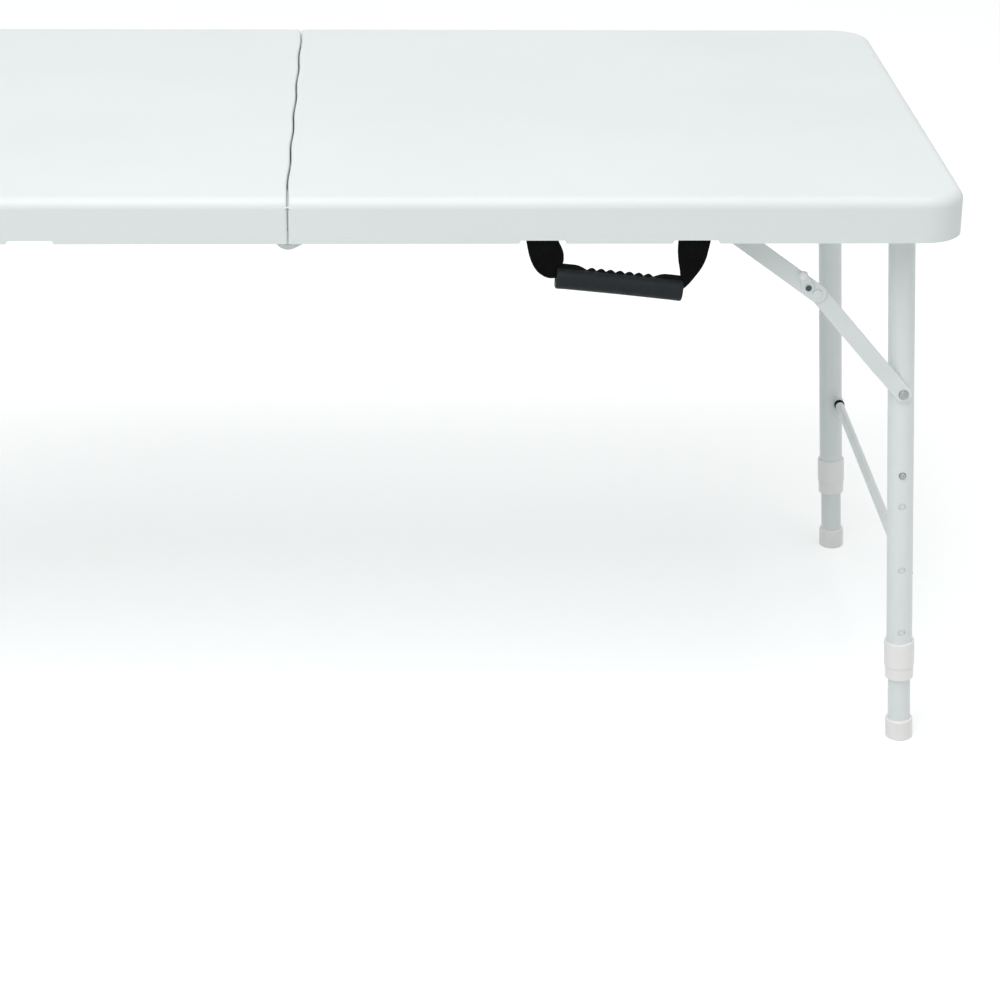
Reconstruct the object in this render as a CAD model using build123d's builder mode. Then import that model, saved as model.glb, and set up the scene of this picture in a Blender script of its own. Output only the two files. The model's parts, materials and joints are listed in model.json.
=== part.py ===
from build123d import *
import os
from math import atan2, ceil, cos, degrees, pi, radians, sin, sqrt, tan

os.makedirs("parts", exist_ok=True)

# Fold-in-half table with folding legs.
# Frame: X along the table from the seam, Y from the front edge to the back, Z up from the floor.
# Every piece is drawn for the front right corner, and the others are its mirror images.

# ---------------------------------------------------------------- driving dimensions, mm
TOP_LENGTH = 1220.0
TOP_WIDTH = 610.0
TABLE_HEIGHT = 580.0
RIM_DEPTH = 42.0
PANEL_THICKNESS = 11.0
RIM_WALL = 5.0
CORNER_RADIUS = 40.0
EDGE_RADIUS = 10.5

SEAM_GAP = 1.4
WAVE_HEIGHT = 0.65
WAVE_PITCH = 110.0
SEAM_CLEARANCE = 0.4
LIP_THICKNESS = 6.0
LIP_DEPTH = 8.0
LIP_INSIDE_LEGS = 33.0
LOBE_RADIUS = 21.0
LOBE_PITCH = 66.0

DIMPLE_COUNT = 5
DIMPLE_PITCH = 86.0
DIMPLE_RADIUS = 11.0
DIMPLE_DEPTH = 7.0
DIMPLE_TAPER = 25.0

LEG_SPLAY = 3.5
LEG_INSIDE_RAIL = 49.0
PIVOT_FROM_END = 48.0
PIVOT_UNDER_PANEL = 15.5

TUBE_RADIUS = 12.5
TUBE_WALL = 1.2
TUBE_HEAD = 7.0
INNER_RADIUS = 11.0
SLIDE_CLEARANCE = 0.3
HOLE_RADIUS = 3.6
HOLE_STEPS = (0.0, 32.5, 99.5, 166.5)
HOLE_ABOVE_COLLAR = 12.5
INNER_ABOVE_HOLE = 18.0

COLLAR_RADIUS = 14.75
COLLAR_LOW_RADIUS = 13.9
COLLAR_TOP_HEIGHT = 106.3
COLLAR_STEP_HEIGHT = 79.6
COLLAR_END_HEIGHT = 65.9
COLLAR_CHAMFER = 0.8
TUBE_IN_COLLAR = 8.0
FOOT_RADIUS = 13.5
FOOT_HEIGHT = 21.0
FOOT_SOLE = 6.0
FOOT_TOP_CHAMFER = 1.0
FOOT_SOLE_CHAMFER = 2.0

PIVOT_TUBE_RADIUS = 9.5
PIVOT_TUBE_WALL = 1.5
PIVOT_CLEARANCE = 0.08
PIVOT_OVERHANG = 2.0
BRACE_RADIUS = 4.8
BRACE_WALL = 1.0
BRACE_HEIGHT = 176.0
BRACE_OUT = 7.5

RAIL_INSET = 25.0
RAIL_STEEL = 2.0
RAIL_DEPTH = 26.0
RAIL_FLANGE = 19.0
RAIL_START = 20.0
RAIL_PAST_PIVOT = 30.0
RAIL_SCREW_COUNT = 5
RAIL_SCREW_FROM_START = 40.0
RAIL_SCREW_FROM_PIVOT = 20.0

LEAF_STEEL = 2.3
LEAF_REACH = 82.0
LEAF_HEIGHT = 18.0
LEAF_RISE = 5.5
LEAF_SLOPE = 40.0
LEAF_SLOPE_ROUND = 2.0
EYE_RADIUS = 12.4
HINGE_BELOW_RIM = 0.2
PIN_RADIUS = 4.0
PIN_HEAD_RADIUS = 8.0
PIN_HEAD = 2.0
PIN_CLEARANCE = 0.06
FACE_CLEARANCE = 0.3
LEAF_RIVETS = (42.0, 68.0)
RIVET_RADIUS = 2.5
RIVET_HEAD_RADIUS = 5.0
RIVET_HEAD = 1.4

STAY_STEEL = 2.0
STAY_UPPER_LENGTH = 138.9
STAY_UPPER_WIDTH = 17.0
STAY_LOWER_WIDTH = 16.0
BRACKET_PER_UPPER = 1.3585
LEG_PIN_PER_UPPER = 1.3297
STAY_JOGGLE = 3.0
JOGGLE_FROM_PIN = 26.0
JOGGLE_RUN = 8.0
TAB_STANDOFF = 0.7
LINK_GAP = 0.8
STAY_PIN_RADIUS = 3.0
STAY_PIN_CLEARANCE = 0.08
STAY_PIN_HEAD_RADIUS = 4.8
STAY_PIN_HEAD = 1.6
KNEE_HEAD_RADIUS = 4.8

BRACKET_WIDTH = 22.0
BRACKET_BELOW_PIN = 9.0

LATCH_FROM_KNEE = 11.4
LATCH_STEEL = 1.6
LATCH_RADIUS = 5.8
LATCH_REACH = 13.0
LATCH_NUB_RADIUS = 3.8
LATCH_NUB_STEP = 0.8
LATCH_LEAN = 113.0
LATCH_RIVET_HEAD_RADIUS = 3.4

BUTTON_RADIUS = 3.3
BUTTON_PROUD = 1.8
BUTTON_TRAVEL = 4.0
SPRING_STRIP = 0.8
SPRING_WIDTH = 6.0
SPRING_HEIGHT = 42.0
SPRING_FLAT = 22.0

HANDLE_OFF_MIDDLE = 8.5
STRAP_SPREAD = 137.5
STRAP_WIDTH = 31.0
STRAP_THICKNESS = 2.6
STRAP_INSET = 14.0
STRAP_TUCK = 15.0
STRAP_HEM = 3.0
STRAP_TOP_ROUND = 1.25
STRAP_OUT_OF_GRIP = 3.0
STRAP_BULGE_IN = 1.0
STRAP_BULGE_OUT = 8.0
STRAP_BULGE_DROP = 24.6
NOTCH_WIDTH = 46.0
NOTCH_DEPTH = 3.0
NOTCH_FLARE = 60.0
PAD_MARGIN = 4.0
GRIP_DROP = 41.0
GRIP_LENGTH = 117.0
GRIP_RADIUS = 10.6
GRIP_TILT = 5.25
GRIP_SLOT = 14.0
GRIP_END_RADIUS = 1.5
GRIP_TEETH = 7
TOOTH_PITCH = 8.4
TOOTH_RADIUS = 2.6
TOOTH_HALF_WIDTH = 6.0
TOOTH_SEAT_MARGIN = 2.0
SHOULDER_RADIUS = 3.5
STRAP_PLATE = 1.6
STRAP_PLATE_MARGIN = 2.0
STRAP_PLATE_CORNER = 3.0
STRAP_SCREW_SPREAD = 18.0

SCREW_RADIUS = 2.0
SCREW_HEAD_RADIUS = 4.5
SCREW_HEAD = 1.8
SCREW_LENGTH = 7.0
HEAD_TAPER = 20.0
STOP_OVERCUT = 1.0

# ---------------------------------------------------------------- levels and places
HALF_LENGTH = TOP_LENGTH / 2
HALF_WIDTH = TOP_WIDTH / 2
RIM_Z = TABLE_HEIGHT - RIM_DEPTH
UNDER_Z = TABLE_HEIGHT - PANEL_THICKNESS
RAIL_Y = HALF_WIDTH - RAIL_INSET
LEG_SPREAD = RAIL_Y - LEG_INSIDE_RAIL
LIP_SPAN = 2 * (LEG_SPREAD - LIP_INSIDE_LEGS)
PIVOT_FROM_SEAM = HALF_LENGTH - PIVOT_FROM_END
PIVOT_Z = UNDER_Z - PIVOT_UNDER_PANEL
SPLAY = radians(LEG_SPLAY)
LEG_AXIS_DROP = PIVOT_Z / cos(SPLAY)
FLANGE_UNDER_Z = UNDER_Z - RAIL_STEEL
HINGE_Z = RIM_Z - HINGE_BELOW_RIM
HANDLE_X = HALF_LENGTH / 2 - HANDLE_OFF_MIDDLE
STRAP_Y = HALF_WIDTH - STRAP_INSET


def drop(height):
    """Distance down the leg's axis from its pivot to a height over the floor."""
    return (PIVOT_Z - height) / cos(SPLAY)


def on_leg(distance):
    """X and Z of the point on the leg's axis at a distance down from the pivot."""
    return PIVOT_FROM_SEAM + distance * sin(SPLAY), PIVOT_Z - distance * cos(SPLAY)


# Planes square to Y are drawn with X to the right and Z up, and extrude towards the front.
def front_plane(y):
    """A plane square to Y at -y, whose normal points to the front."""
    return Plane(origin=(0, -y, 0), x_dir=(1, 0, 0), z_dir=(0, -1, 0))


LEG_PLANE = Plane(
    origin=(PIVOT_FROM_SEAM, -LEG_SPREAD, PIVOT_Z),
    x_dir=(cos(SPLAY), 0, sin(SPLAY)),
    z_dir=(-sin(SPLAY), 0, cos(SPLAY)),
)
TOP_HOLE_DROP = drop(COLLAR_TOP_HEIGHT) - HOLE_ABOVE_COLLAR - HOLE_STEPS[-1]

# The stay: an upper link from the bracket to the knee and a lower link from the knee to the leg.
# Folded flat, both lie level with their knee towards the leg's pivot.
STAY_BRACKET_X = PIVOT_FROM_SEAM - BRACKET_PER_UPPER * STAY_UPPER_LENGTH
STAY_ON_LEG = LEG_PIN_PER_UPPER * STAY_UPPER_LENGTH
LEG_PIN_X, LEG_PIN_Z = on_leg(STAY_ON_LEG)
STAY_LOWER_LENGTH = STAY_UPPER_LENGTH + STAY_BRACKET_X - (PIVOT_FROM_SEAM - STAY_ON_LEG)
SPAN_X = LEG_PIN_X - STAY_BRACKET_X
SPAN_Z = LEG_PIN_Z - PIVOT_Z
SPAN = sqrt(SPAN_X**2 + SPAN_Z**2)
ALONG = (STAY_UPPER_LENGTH**2 - STAY_LOWER_LENGTH**2 + SPAN**2) / (2 * SPAN)
ASIDE = sqrt(STAY_UPPER_LENGTH**2 - ALONG**2)
KNEE_X = STAY_BRACKET_X + (ALONG * SPAN_X - ASIDE * SPAN_Z) / SPAN
KNEE_Z = PIVOT_Z + (ALONG * SPAN_Z + ASIDE * SPAN_X) / SPAN
UPPER_ANGLE = degrees(atan2(KNEE_Z - PIVOT_Z, KNEE_X - STAY_BRACKET_X))
LOWER_ANGLE = degrees(atan2(KNEE_Z - LEG_PIN_Z, KNEE_X - LEG_PIN_X))

# Layers of the stay, counted outwards from the leg's tube.
TAB_Y = LEG_SPREAD + TUBE_RADIUS + TAB_STANDOFF
LOWER_Y = TAB_Y + STAY_JOGGLE
UPPER_Y = LOWER_Y + STAY_STEEL + LINK_GAP
LATCH_Y = UPPER_Y + STAY_STEEL + FACE_CLEARANCE
EAR_Y = UPPER_Y + STAY_STEEL + LINK_GAP
SPRING_FACE = sqrt((INNER_RADIUS - TUBE_WALL) ** 2 - (SPRING_WIDTH / 2) ** 2) - FACE_CLEARANCE
RAIL_FACE_Y = RAIL_Y + RAIL_STEEL / 2
RAIL_BACK_Y = RAIL_Y - RAIL_STEEL / 2


def export(piece, name):
    """Labels a finished piece and writes its STEP file."""
    piece.label = name
    export_step(piece, f"parts/{name}.step")


def mirrored(piece, plane):
    """The mirror image of a piece."""
    with BuildPart() as image:
        mirror(piece, about=plane)
    return image.part


def joined(*pieces):
    """Several separate solids in one piece."""
    with BuildPart() as group:
        for piece in pieces:
            add(piece)
    return group.part


def both_edges(piece):
    """A front piece together with its mirror image at the back edge."""
    return joined(piece, mirrored(piece, Plane.XZ))


# ---------------------------------------------------------------- moulded top
def seam_wave(side):
    """Points along the wavy seam edge of one half, from front to back."""
    count = 2 * ceil((TOP_WIDTH + WAVE_PITCH) / WAVE_PITCH * 2)
    step = (TOP_WIDTH + WAVE_PITCH) / count
    ys = [-(TOP_WIDTH + WAVE_PITCH) / 2 + step * k for k in range(count + 1)]
    return [(side * SEAM_GAP / 2 + WAVE_HEIGHT * sin(2 * pi * y / WAVE_PITCH), y) for y in ys]


def top_half(side):
    """One half of the blow-moulded top. side is 1 for the right half and -1 for the left."""
    past_seam = 4 * WAVE_HEIGHT + SEAM_GAP
    length = HALF_LENGTH + past_seam
    centre = side * (HALF_LENGTH - length / 2)
    inner_end = HALF_LENGTH - RIM_WALL
    with BuildPart() as top:
        with BuildSketch(Plane.XY.offset(RIM_Z)) as outline:
            with Locations((centre, 0)):
                Rectangle(length, TOP_WIDTH)
            corners = outline.vertices().filter_by(lambda v: v.X * side > HALF_LENGTH / 2)
            fillet(corners, CORNER_RADIUS)
        extrude(amount=RIM_DEPTH)
        rim_edges = top.faces().sort_by(Axis.Z)[-1].edges()
        fillet(rim_edges.filter_by(lambda e: e.center().X * side > 0), EDGE_RADIUS)
        with BuildSketch(Plane.XY.offset(RIM_Z)) as recess:
            with Locations((side * (inner_end - length) / 2, 0)):
                Rectangle(inner_end + length, TOP_WIDTH - 2 * RIM_WALL)
            inner_corners = recess.vertices().filter_by(lambda v: v.X * side > HALF_LENGTH / 2)
            fillet(inner_corners, CORNER_RADIUS - RIM_WALL)
        extrude(amount=RIM_DEPTH - PANEL_THICKNESS, mode=Mode.SUBTRACT)
        # scalloped lip along the seam, between the places where the feet fold in
        lip_x = side * (SEAM_CLEARANCE + WAVE_HEIGHT)
        with BuildSketch(Plane(origin=(lip_x, 0, UNDER_Z), x_dir=(0, 1, 0), z_dir=(side, 0, 0))):
            with Locations((0, -LIP_DEPTH * side / 2)):
                Rectangle(LIP_SPAN, LIP_DEPTH)
            with GridLocations(LOBE_PITCH, 1, int(LIP_SPAN // LOBE_PITCH), 1):
                Circle(LOBE_RADIUS)
            with Locations((0, LOBE_RADIUS * side)):
                Rectangle(LIP_SPAN, 2 * LOBE_RADIUS, mode=Mode.SUBTRACT)
        extrude(amount=LIP_THICKNESS)
        # moulded dimples that tie the panel's two skins together
        dimple_x = side * (HALF_LENGTH - RIM_WALL - CORNER_RADIUS) / 2
        with BuildSketch(Plane.XY.offset(UNDER_Z)):
            with Locations((dimple_x, 0)):
                with GridLocations(DIMPLE_PITCH, DIMPLE_PITCH, DIMPLE_COUNT, DIMPLE_COUNT):
                    Circle(DIMPLE_RADIUS)
        extrude(amount=DIMPLE_DEPTH, taper=DIMPLE_TAPER, mode=Mode.SUBTRACT)
        # notches in the rim's lower edge where the straps come out, front edge only
        with BuildSketch(front_plane(HALF_WIDTH + STOP_OVERCUT)):
            for strap_x in (-STRAP_SPREAD / 2, STRAP_SPREAD / 2):
                with Locations((side * (HANDLE_X + strap_x), RIM_Z)):
                    Trapezoid(NOTCH_WIDTH, 2 * NOTCH_DEPTH, NOTCH_FLARE)
        extrude(amount=-(RIM_WALL + 2 * STOP_OVERCUT), mode=Mode.SUBTRACT)
        # the wavy seam edge
        with BuildSketch(Plane.XY.offset(RIM_Z - STOP_OVERCUT)):
            with BuildLine():
                wave = Spline(*seam_wave(side))
                far = -side * 2 * CORNER_RADIUS
                Polyline(wave @ 1, (far, (wave @ 1).Y), (far, (wave @ 0).Y), wave @ 0)
            make_face()
        extrude(amount=RIM_DEPTH + 2 * STOP_OVERCUT, mode=Mode.SUBTRACT)
    return top.part


# ---------------------------------------------------------------- rails and hinge
def rail():
    """An angle-section steel rail along the front edge, screwed under the panel."""
    length = PIVOT_FROM_SEAM + RAIL_PAST_PIVOT - RAIL_START
    with BuildPart() as angle:
        with BuildSketch(Plane(origin=(RAIL_START, 0, 0), x_dir=(0, 1, 0), z_dir=(1, 0, 0))):
            with Locations((-RAIL_FACE_Y, UNDER_Z - RAIL_DEPTH)):
                Rectangle(RAIL_STEEL, RAIL_DEPTH, align=Align.MIN)
            with Locations((-RAIL_FACE_Y, FLANGE_UNDER_Z)):
                Rectangle(RAIL_FLANGE, RAIL_STEEL, align=Align.MIN)
        extrude(amount=length)
        bend = angle.edges().filter_by(Axis.X).sort_by(lambda e: abs(e.center().Y + RAIL_BACK_Y))
        inner = bend.filter_by(lambda e: abs(e.center().Z - FLANGE_UNDER_Z) < 0.01)[0]
        fillet(inner, RAIL_STEEL / 2)
        with BuildSketch(front_plane(RAIL_BACK_Y)):
            with Locations((PIVOT_FROM_SEAM, PIVOT_Z)):
                Circle(PIVOT_TUBE_RADIUS + PIVOT_CLEARANCE)
            for x in LEAF_RIVETS:
                with Locations((x, leaf_middle())):
                    Circle(RIVET_RADIUS)
        extrude(amount=RAIL_STEEL, mode=Mode.SUBTRACT)
        with BuildSketch(Plane.XY.offset(FLANGE_UNDER_Z)):
            for x in (*rail_screws(), *bracket_screws()):
                with Locations((x, -flange_middle())):
                    Circle(SCREW_RADIUS)
        extrude(amount=RAIL_STEEL, mode=Mode.SUBTRACT)
    return angle.part


def leaf_middle():
    """Height of the hinge leaf's centre line."""
    return RIM_Z + LEAF_RISE + LEAF_HEIGHT / 2


def flange_middle():
    """Distance from the middle of the table to the middle of the rail's flange."""
    return RAIL_FACE_Y - RAIL_FLANGE / 2 - RAIL_STEEL / 2


def rail_screws():
    """Where along the rail it is screwed to the panel."""
    first = RAIL_START + RAIL_SCREW_FROM_START
    step = (PIVOT_FROM_SEAM - RAIL_SCREW_FROM_PIVOT - first) / (RAIL_SCREW_COUNT - 1)
    return [first + step * k for k in range(RAIL_SCREW_COUNT)]


def bracket_screws():
    """Where along the rail each stay bracket is screwed on."""
    return (STAY_BRACKET_X - BRACKET_WIDTH / 4, STAY_BRACKET_X + BRACKET_WIDTH / 4)


def hinge_leaf(inner_face_y):
    """A hinge leaf: an eye round the seam's axis and an arm along the rail, joined by a slope."""
    with BuildPart() as leaf:
        with BuildSketch(front_plane(inner_face_y)):
            with Locations((0, HINGE_Z)):
                Circle(EYE_RADIUS)
            slope_z = RIM_Z + LEAF_RISE + LEAF_SLOPE_ROUND
            with Locations((LEAF_SLOPE - LEAF_SLOPE_ROUND, slope_z)):
                Circle(LEAF_SLOPE_ROUND)
            make_hull()
            with Locations((0, RIM_Z + LEAF_RISE)):
                Rectangle(LEAF_REACH, LEAF_HEIGHT, align=Align.MIN)
            with Locations((0, HINGE_Z)):
                Circle(PIN_RADIUS + PIN_CLEARANCE, mode=Mode.SUBTRACT)
            for x in LEAF_RIVETS:
                with Locations((x, leaf_middle())):
                    Circle(RIVET_RADIUS, mode=Mode.SUBTRACT)
        extrude(amount=LEAF_STEEL)
        arm_end = leaf.edges().filter_by(Axis.Y).sort_by(Axis.X)[-2:]
        fillet(arm_end, LEAF_HEIGHT / 4)
    return leaf.part


def rivet(plane, x, z, stack):
    """A rivet through a stack of the given thickness, standing on the plane, with two heads."""
    with BuildPart() as pin:
        with BuildSketch(plane):
            with Locations((x, z)):
                Circle(RIVET_RADIUS)
        extrude(amount=stack)
        for seat, amount in ((plane, -RIVET_HEAD), (plane.offset(stack), RIVET_HEAD)):
            with BuildSketch(seat):
                with Locations((x, z)):
                    Circle(RIVET_HEAD_RADIUS)
            extrude(amount=amount, taper=HEAD_TAPER)
    return pin.part


def leaf_rivets(first_face_y):
    """The two rivets that hold a hinge leaf to its rail."""
    plane = front_plane(first_face_y)
    return [rivet(plane, x, leaf_middle(), LEAF_STEEL + RAIL_STEEL) for x in LEAF_RIVETS]


def hinge_pin():
    """The hinge's pin: a shaft through both leaves, with two heads and a spacer between them."""
    inner = RAIL_BACK_Y - LEAF_STEEL - FACE_CLEARANCE
    outer = RAIL_FACE_Y + LEAF_STEEL + FACE_CLEARANCE
    with BuildPart() as pin:
        with BuildSketch(front_plane(inner)):
            with Locations((0, HINGE_Z)):
                Circle(PIN_RADIUS)
        extrude(amount=outer - inner)
        for y, amount in ((inner, -PIN_HEAD), (outer, PIN_HEAD)):
            with BuildSketch(front_plane(y)):
                with Locations((0, HINGE_Z)):
                    Circle(PIN_HEAD_RADIUS)
            extrude(amount=amount, taper=HEAD_TAPER)
        with BuildSketch(front_plane(RAIL_BACK_Y + FACE_CLEARANCE)):
            with Locations((0, HINGE_Z)):
                Circle(PIN_HEAD_RADIUS)
        extrude(amount=RAIL_STEEL - 2 * FACE_CLEARANCE)
    return pin.part


def screw(plane, x, y, through):
    """A pan-head screw. The plane is its seat, and its shank goes through a plate into the moulding."""
    with BuildPart() as pan:
        with BuildSketch(plane):
            with Locations((x, y)):
                Circle(SCREW_RADIUS)
        extrude(amount=through + SCREW_LENGTH)
        with BuildSketch(plane):
            with Locations((x, y)):
                Circle(SCREW_HEAD_RADIUS)
        extrude(amount=-SCREW_HEAD, taper=HEAD_TAPER)
    return pan.part


def stay_bracket():
    """An angle bracket under the rail's flange, whose ear holds the upper link."""
    ear_height = FLANGE_UNDER_Z - PIVOT_Z + BRACKET_BELOW_PIN
    with BuildPart() as bracket:
        with BuildSketch(front_plane(EAR_Y)):
            with Locations((STAY_BRACKET_X, FLANGE_UNDER_Z - ear_height / 2)):
                Rectangle(BRACKET_WIDTH, ear_height)
        extrude(amount=STAY_STEEL)
        lower = bracket.edges().filter_by(Axis.Y).sort_by(Axis.Z)[:2]
        fillet(lower, BRACKET_BELOW_PIN - FACE_CLEARANCE)
        with BuildSketch(Plane.XY.offset(FLANGE_UNDER_Z - STAY_STEEL)):
            with Locations((STAY_BRACKET_X, -EAR_Y)):
                Rectangle(
                    BRACKET_WIDTH,
                    RAIL_BACK_Y - EAR_Y - RAIL_STEEL / 2,
                    align=(Align.CENTER, Align.MAX),
                )
            for x in bracket_screws():
                with Locations((x, -flange_middle())):
                    Circle(SCREW_RADIUS, mode=Mode.SUBTRACT)
        extrude(amount=STAY_STEEL)
        with BuildSketch(front_plane(EAR_Y)):
            with Locations((STAY_BRACKET_X, PIVOT_Z)):
                Circle(STAY_PIN_RADIUS)
        extrude(amount=STAY_STEEL, mode=Mode.SUBTRACT)
    return bracket.part


def bracket_pin():
    """The upper link's pin, fixed in the bracket's ear."""
    with BuildPart() as pin:
        with BuildSketch(front_plane(UPPER_Y - FACE_CLEARANCE)):
            with Locations((STAY_BRACKET_X, PIVOT_Z)):
                Circle(STAY_PIN_RADIUS)
        extrude(amount=STAY_STEEL * 2 + LINK_GAP + FACE_CLEARANCE)
        with BuildSketch(front_plane(UPPER_Y - FACE_CLEARANCE)):
            with Locations((STAY_BRACKET_X, PIVOT_Z)):
                Circle(RIVET_HEAD_RADIUS)
        extrude(amount=-(LINK_GAP - FACE_CLEARANCE))
        with BuildSketch(front_plane(EAR_Y + STAY_STEEL)):
            with Locations((STAY_BRACKET_X, PIVOT_Z)):
                Circle(STAY_PIN_HEAD_RADIUS)
        extrude(amount=STAY_PIN_HEAD, taper=HEAD_TAPER)
    return pin.part


# ---------------------------------------------------------------- leg frame
def leg_tube():
    """The outer tube of a leg, with its height holes and the hole for the pivot tube."""
    end = drop(COLLAR_END_HEIGHT) - TUBE_IN_COLLAR
    with BuildPart() as tube:
        with BuildSketch(LEG_PLANE.offset(TUBE_HEAD)):
            Circle(TUBE_RADIUS)
            Circle(TUBE_RADIUS - TUBE_WALL, mode=Mode.SUBTRACT)
        extrude(amount=-(end + TUBE_HEAD))
        with BuildSketch(front_plane(LEG_SPREAD - 2 * TUBE_RADIUS)):
            with Locations((PIVOT_FROM_SEAM, PIVOT_Z)):
                Circle(PIVOT_TUBE_RADIUS)
        extrude(amount=4 * TUBE_RADIUS, mode=Mode.SUBTRACT)
        with BuildSketch(front_plane(LEG_SPREAD)):
            for step in HOLE_STEPS:
                with Locations(on_leg(TOP_HOLE_DROP + step)):
                    Circle(HOLE_RADIUS)
            with Locations((LEG_PIN_X, LEG_PIN_Z)):
                Circle(STAY_PIN_RADIUS)
        extrude(amount=2 * TUBE_RADIUS, mode=Mode.SUBTRACT)
    return tube.part


def pivot_tube():
    """The tube that joins both legs at the top and turns in the rails."""
    half = RAIL_FACE_Y + PIVOT_OVERHANG
    with BuildPart() as tube:
        with BuildSketch(front_plane(half)):
            with Locations((PIVOT_FROM_SEAM, PIVOT_Z)):
                Circle(PIVOT_TUBE_RADIUS)
                Circle(PIVOT_TUBE_RADIUS - PIVOT_TUBE_WALL, mode=Mode.SUBTRACT)
        extrude(amount=-2 * half)
    return tube.part


def brace_bar():
    """The lower tube on the legs' outer side, cut to the curve of their tubes."""
    x, z = on_leg(drop(BRACE_HEIGHT))
    with BuildPart() as bar:
        with BuildSketch(front_plane(LEG_SPREAD)):
            with Locations((x + BRACE_OUT * cos(SPLAY), z + BRACE_OUT * sin(SPLAY))):
                Circle(BRACE_RADIUS)
                Circle(BRACE_RADIUS - BRACE_WALL, mode=Mode.SUBTRACT)
        extrude(amount=-2 * LEG_SPREAD)
        for y in (-LEG_SPREAD, LEG_SPREAD):
            across = Plane(origin=(LEG_PLANE.origin.X, y, PIVOT_Z), z_dir=LEG_PLANE.z_dir)
            with BuildSketch(across):
                Circle(TUBE_RADIUS)
            extrude(amount=-LEG_AXIS_DROP, mode=Mode.SUBTRACT)
    return bar.part


def collar():
    """The plastic collar on the end of the outer tube, which guides the inner leg."""
    top = drop(COLLAR_TOP_HEIGHT)
    step = drop(COLLAR_STEP_HEIGHT)
    end = drop(COLLAR_END_HEIGHT)
    with BuildPart() as ring:
        with BuildSketch(LEG_PLANE.offset(-top)):
            Circle(COLLAR_RADIUS)
        extrude(amount=-(step - top))
        with BuildSketch(LEG_PLANE.offset(-step)):
            Circle(COLLAR_LOW_RADIUS)
        extrude(amount=-(end - step))
        rims = ring.edges().filter_by(GeomType.CIRCLE)
        chamfer(rims.group_by(Axis.Z)[0], COLLAR_CHAMFER)
        chamfer(rims.group_by(Axis.Z)[-1], COLLAR_CHAMFER)
        with BuildSketch(LEG_PLANE.offset(-top)):
            Circle(TUBE_RADIUS)
        extrude(amount=-(end - TUBE_IN_COLLAR - top), mode=Mode.SUBTRACT)
        with BuildSketch(LEG_PLANE.offset(-top)):
            Circle(INNER_RADIUS + SLIDE_CLEARANCE)
        extrude(amount=-(end - top), mode=Mode.SUBTRACT)
    return ring.part


def leg_pin():
    """The rivet in the leg's front wall that the lower link turns on."""
    head_y = TAB_Y + STAY_STEEL + FACE_CLEARANCE
    with BuildPart() as pin:
        with BuildSketch(front_plane(LEG_SPREAD + TUBE_RADIUS - TUBE_WALL)):
            with Locations((LEG_PIN_X, LEG_PIN_Z)):
                Circle(STAY_PIN_RADIUS)
        extrude(amount=head_y - LEG_SPREAD - TUBE_RADIUS + TUBE_WALL)
        with BuildSketch(front_plane(head_y)):
            with Locations((LEG_PIN_X, LEG_PIN_Z)):
                Circle(STAY_PIN_HEAD_RADIUS)
        extrude(amount=STAY_PIN_HEAD, taper=HEAD_TAPER)
    return pin.part


# ---------------------------------------------------------------- inner leg
def inner_leg():
    """The inner tube that slides in the leg for height."""
    top = TOP_HOLE_DROP - INNER_ABOVE_HOLE
    with BuildPart() as tube:
        with BuildSketch(LEG_PLANE.offset(-top)):
            Circle(INNER_RADIUS)
            Circle(INNER_RADIUS - TUBE_WALL, mode=Mode.SUBTRACT)
        extrude(amount=-(LEG_AXIS_DROP - FOOT_SOLE - top))
        with BuildSketch(front_plane(LEG_SPREAD)):
            with Locations(on_leg(TOP_HOLE_DROP)):
                Circle(HOLE_RADIUS)
        extrude(amount=2 * TUBE_RADIUS, mode=Mode.SUBTRACT)
    return tube.part


def foot():
    """The moulded cap on the inner leg, level with the floor."""
    top = drop(FOOT_HEIGHT)
    with BuildPart() as cap:
        with BuildSketch(LEG_PLANE.offset(-top)):
            Circle(FOOT_RADIUS)
        extrude(amount=-(LEG_AXIS_DROP + FOOT_RADIUS * tan(SPLAY) - top))
        chamfer(cap.edges().filter_by(GeomType.CIRCLE).group_by(Axis.Z)[-1], FOOT_TOP_CHAMFER)
        chamfer(cap.edges().filter_by(GeomType.CIRCLE).group_by(Axis.Z)[0], FOOT_SOLE_CHAMFER)
        with BuildSketch(LEG_PLANE.offset(-top)):
            Circle(INNER_RADIUS)
        extrude(amount=-(LEG_AXIS_DROP - FOOT_SOLE - top), mode=Mode.SUBTRACT)
        split(bisect_by=Plane.XY, keep=Keep.TOP)
    return cap.part


def snap_button():
    """The button that locks the inner leg in one of the holes."""
    x, z = on_leg(TOP_HOLE_DROP)
    with BuildPart() as button:
        with BuildSketch(front_plane(LEG_SPREAD + SPRING_FACE)):
            with Locations((x, z)):
                Circle(BUTTON_RADIUS)
        extrude(amount=TUBE_RADIUS + BUTTON_PROUD - SPRING_FACE)
        fillet(button.faces().sort_by(Axis.Y)[0].edges(), BUTTON_PROUD - SLIDE_CLEARANCE)
    return button.part


def snap_spring():
    """The bent strip inside the inner leg that carries the button."""
    x, z = on_leg(TOP_HOLE_DROP)
    plane = Plane(origin=(x, -LEG_SPREAD, z), x_dir=(0, 1, 0), z_dir=LEG_PLANE.x_dir)
    reach = SPRING_STRIP / 2 - SPRING_FACE
    flat = SPRING_FLAT / 2
    with BuildPart() as spring:
        with BuildSketch(plane):
            with BuildLine():
                path = Polyline(
                    (reach, flat),
                    (reach, -flat),
                    (0, flat - SPRING_HEIGHT),
                    (-reach, -flat),
                    (-reach, flat),
                )
                fillet(path.vertices().sort_by(Axis.Z)[0], SPRING_STRIP * 2)
            trace(line_width=SPRING_STRIP)
        extrude(amount=SPRING_WIDTH / 2, both=True)
    return spring.part


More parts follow.
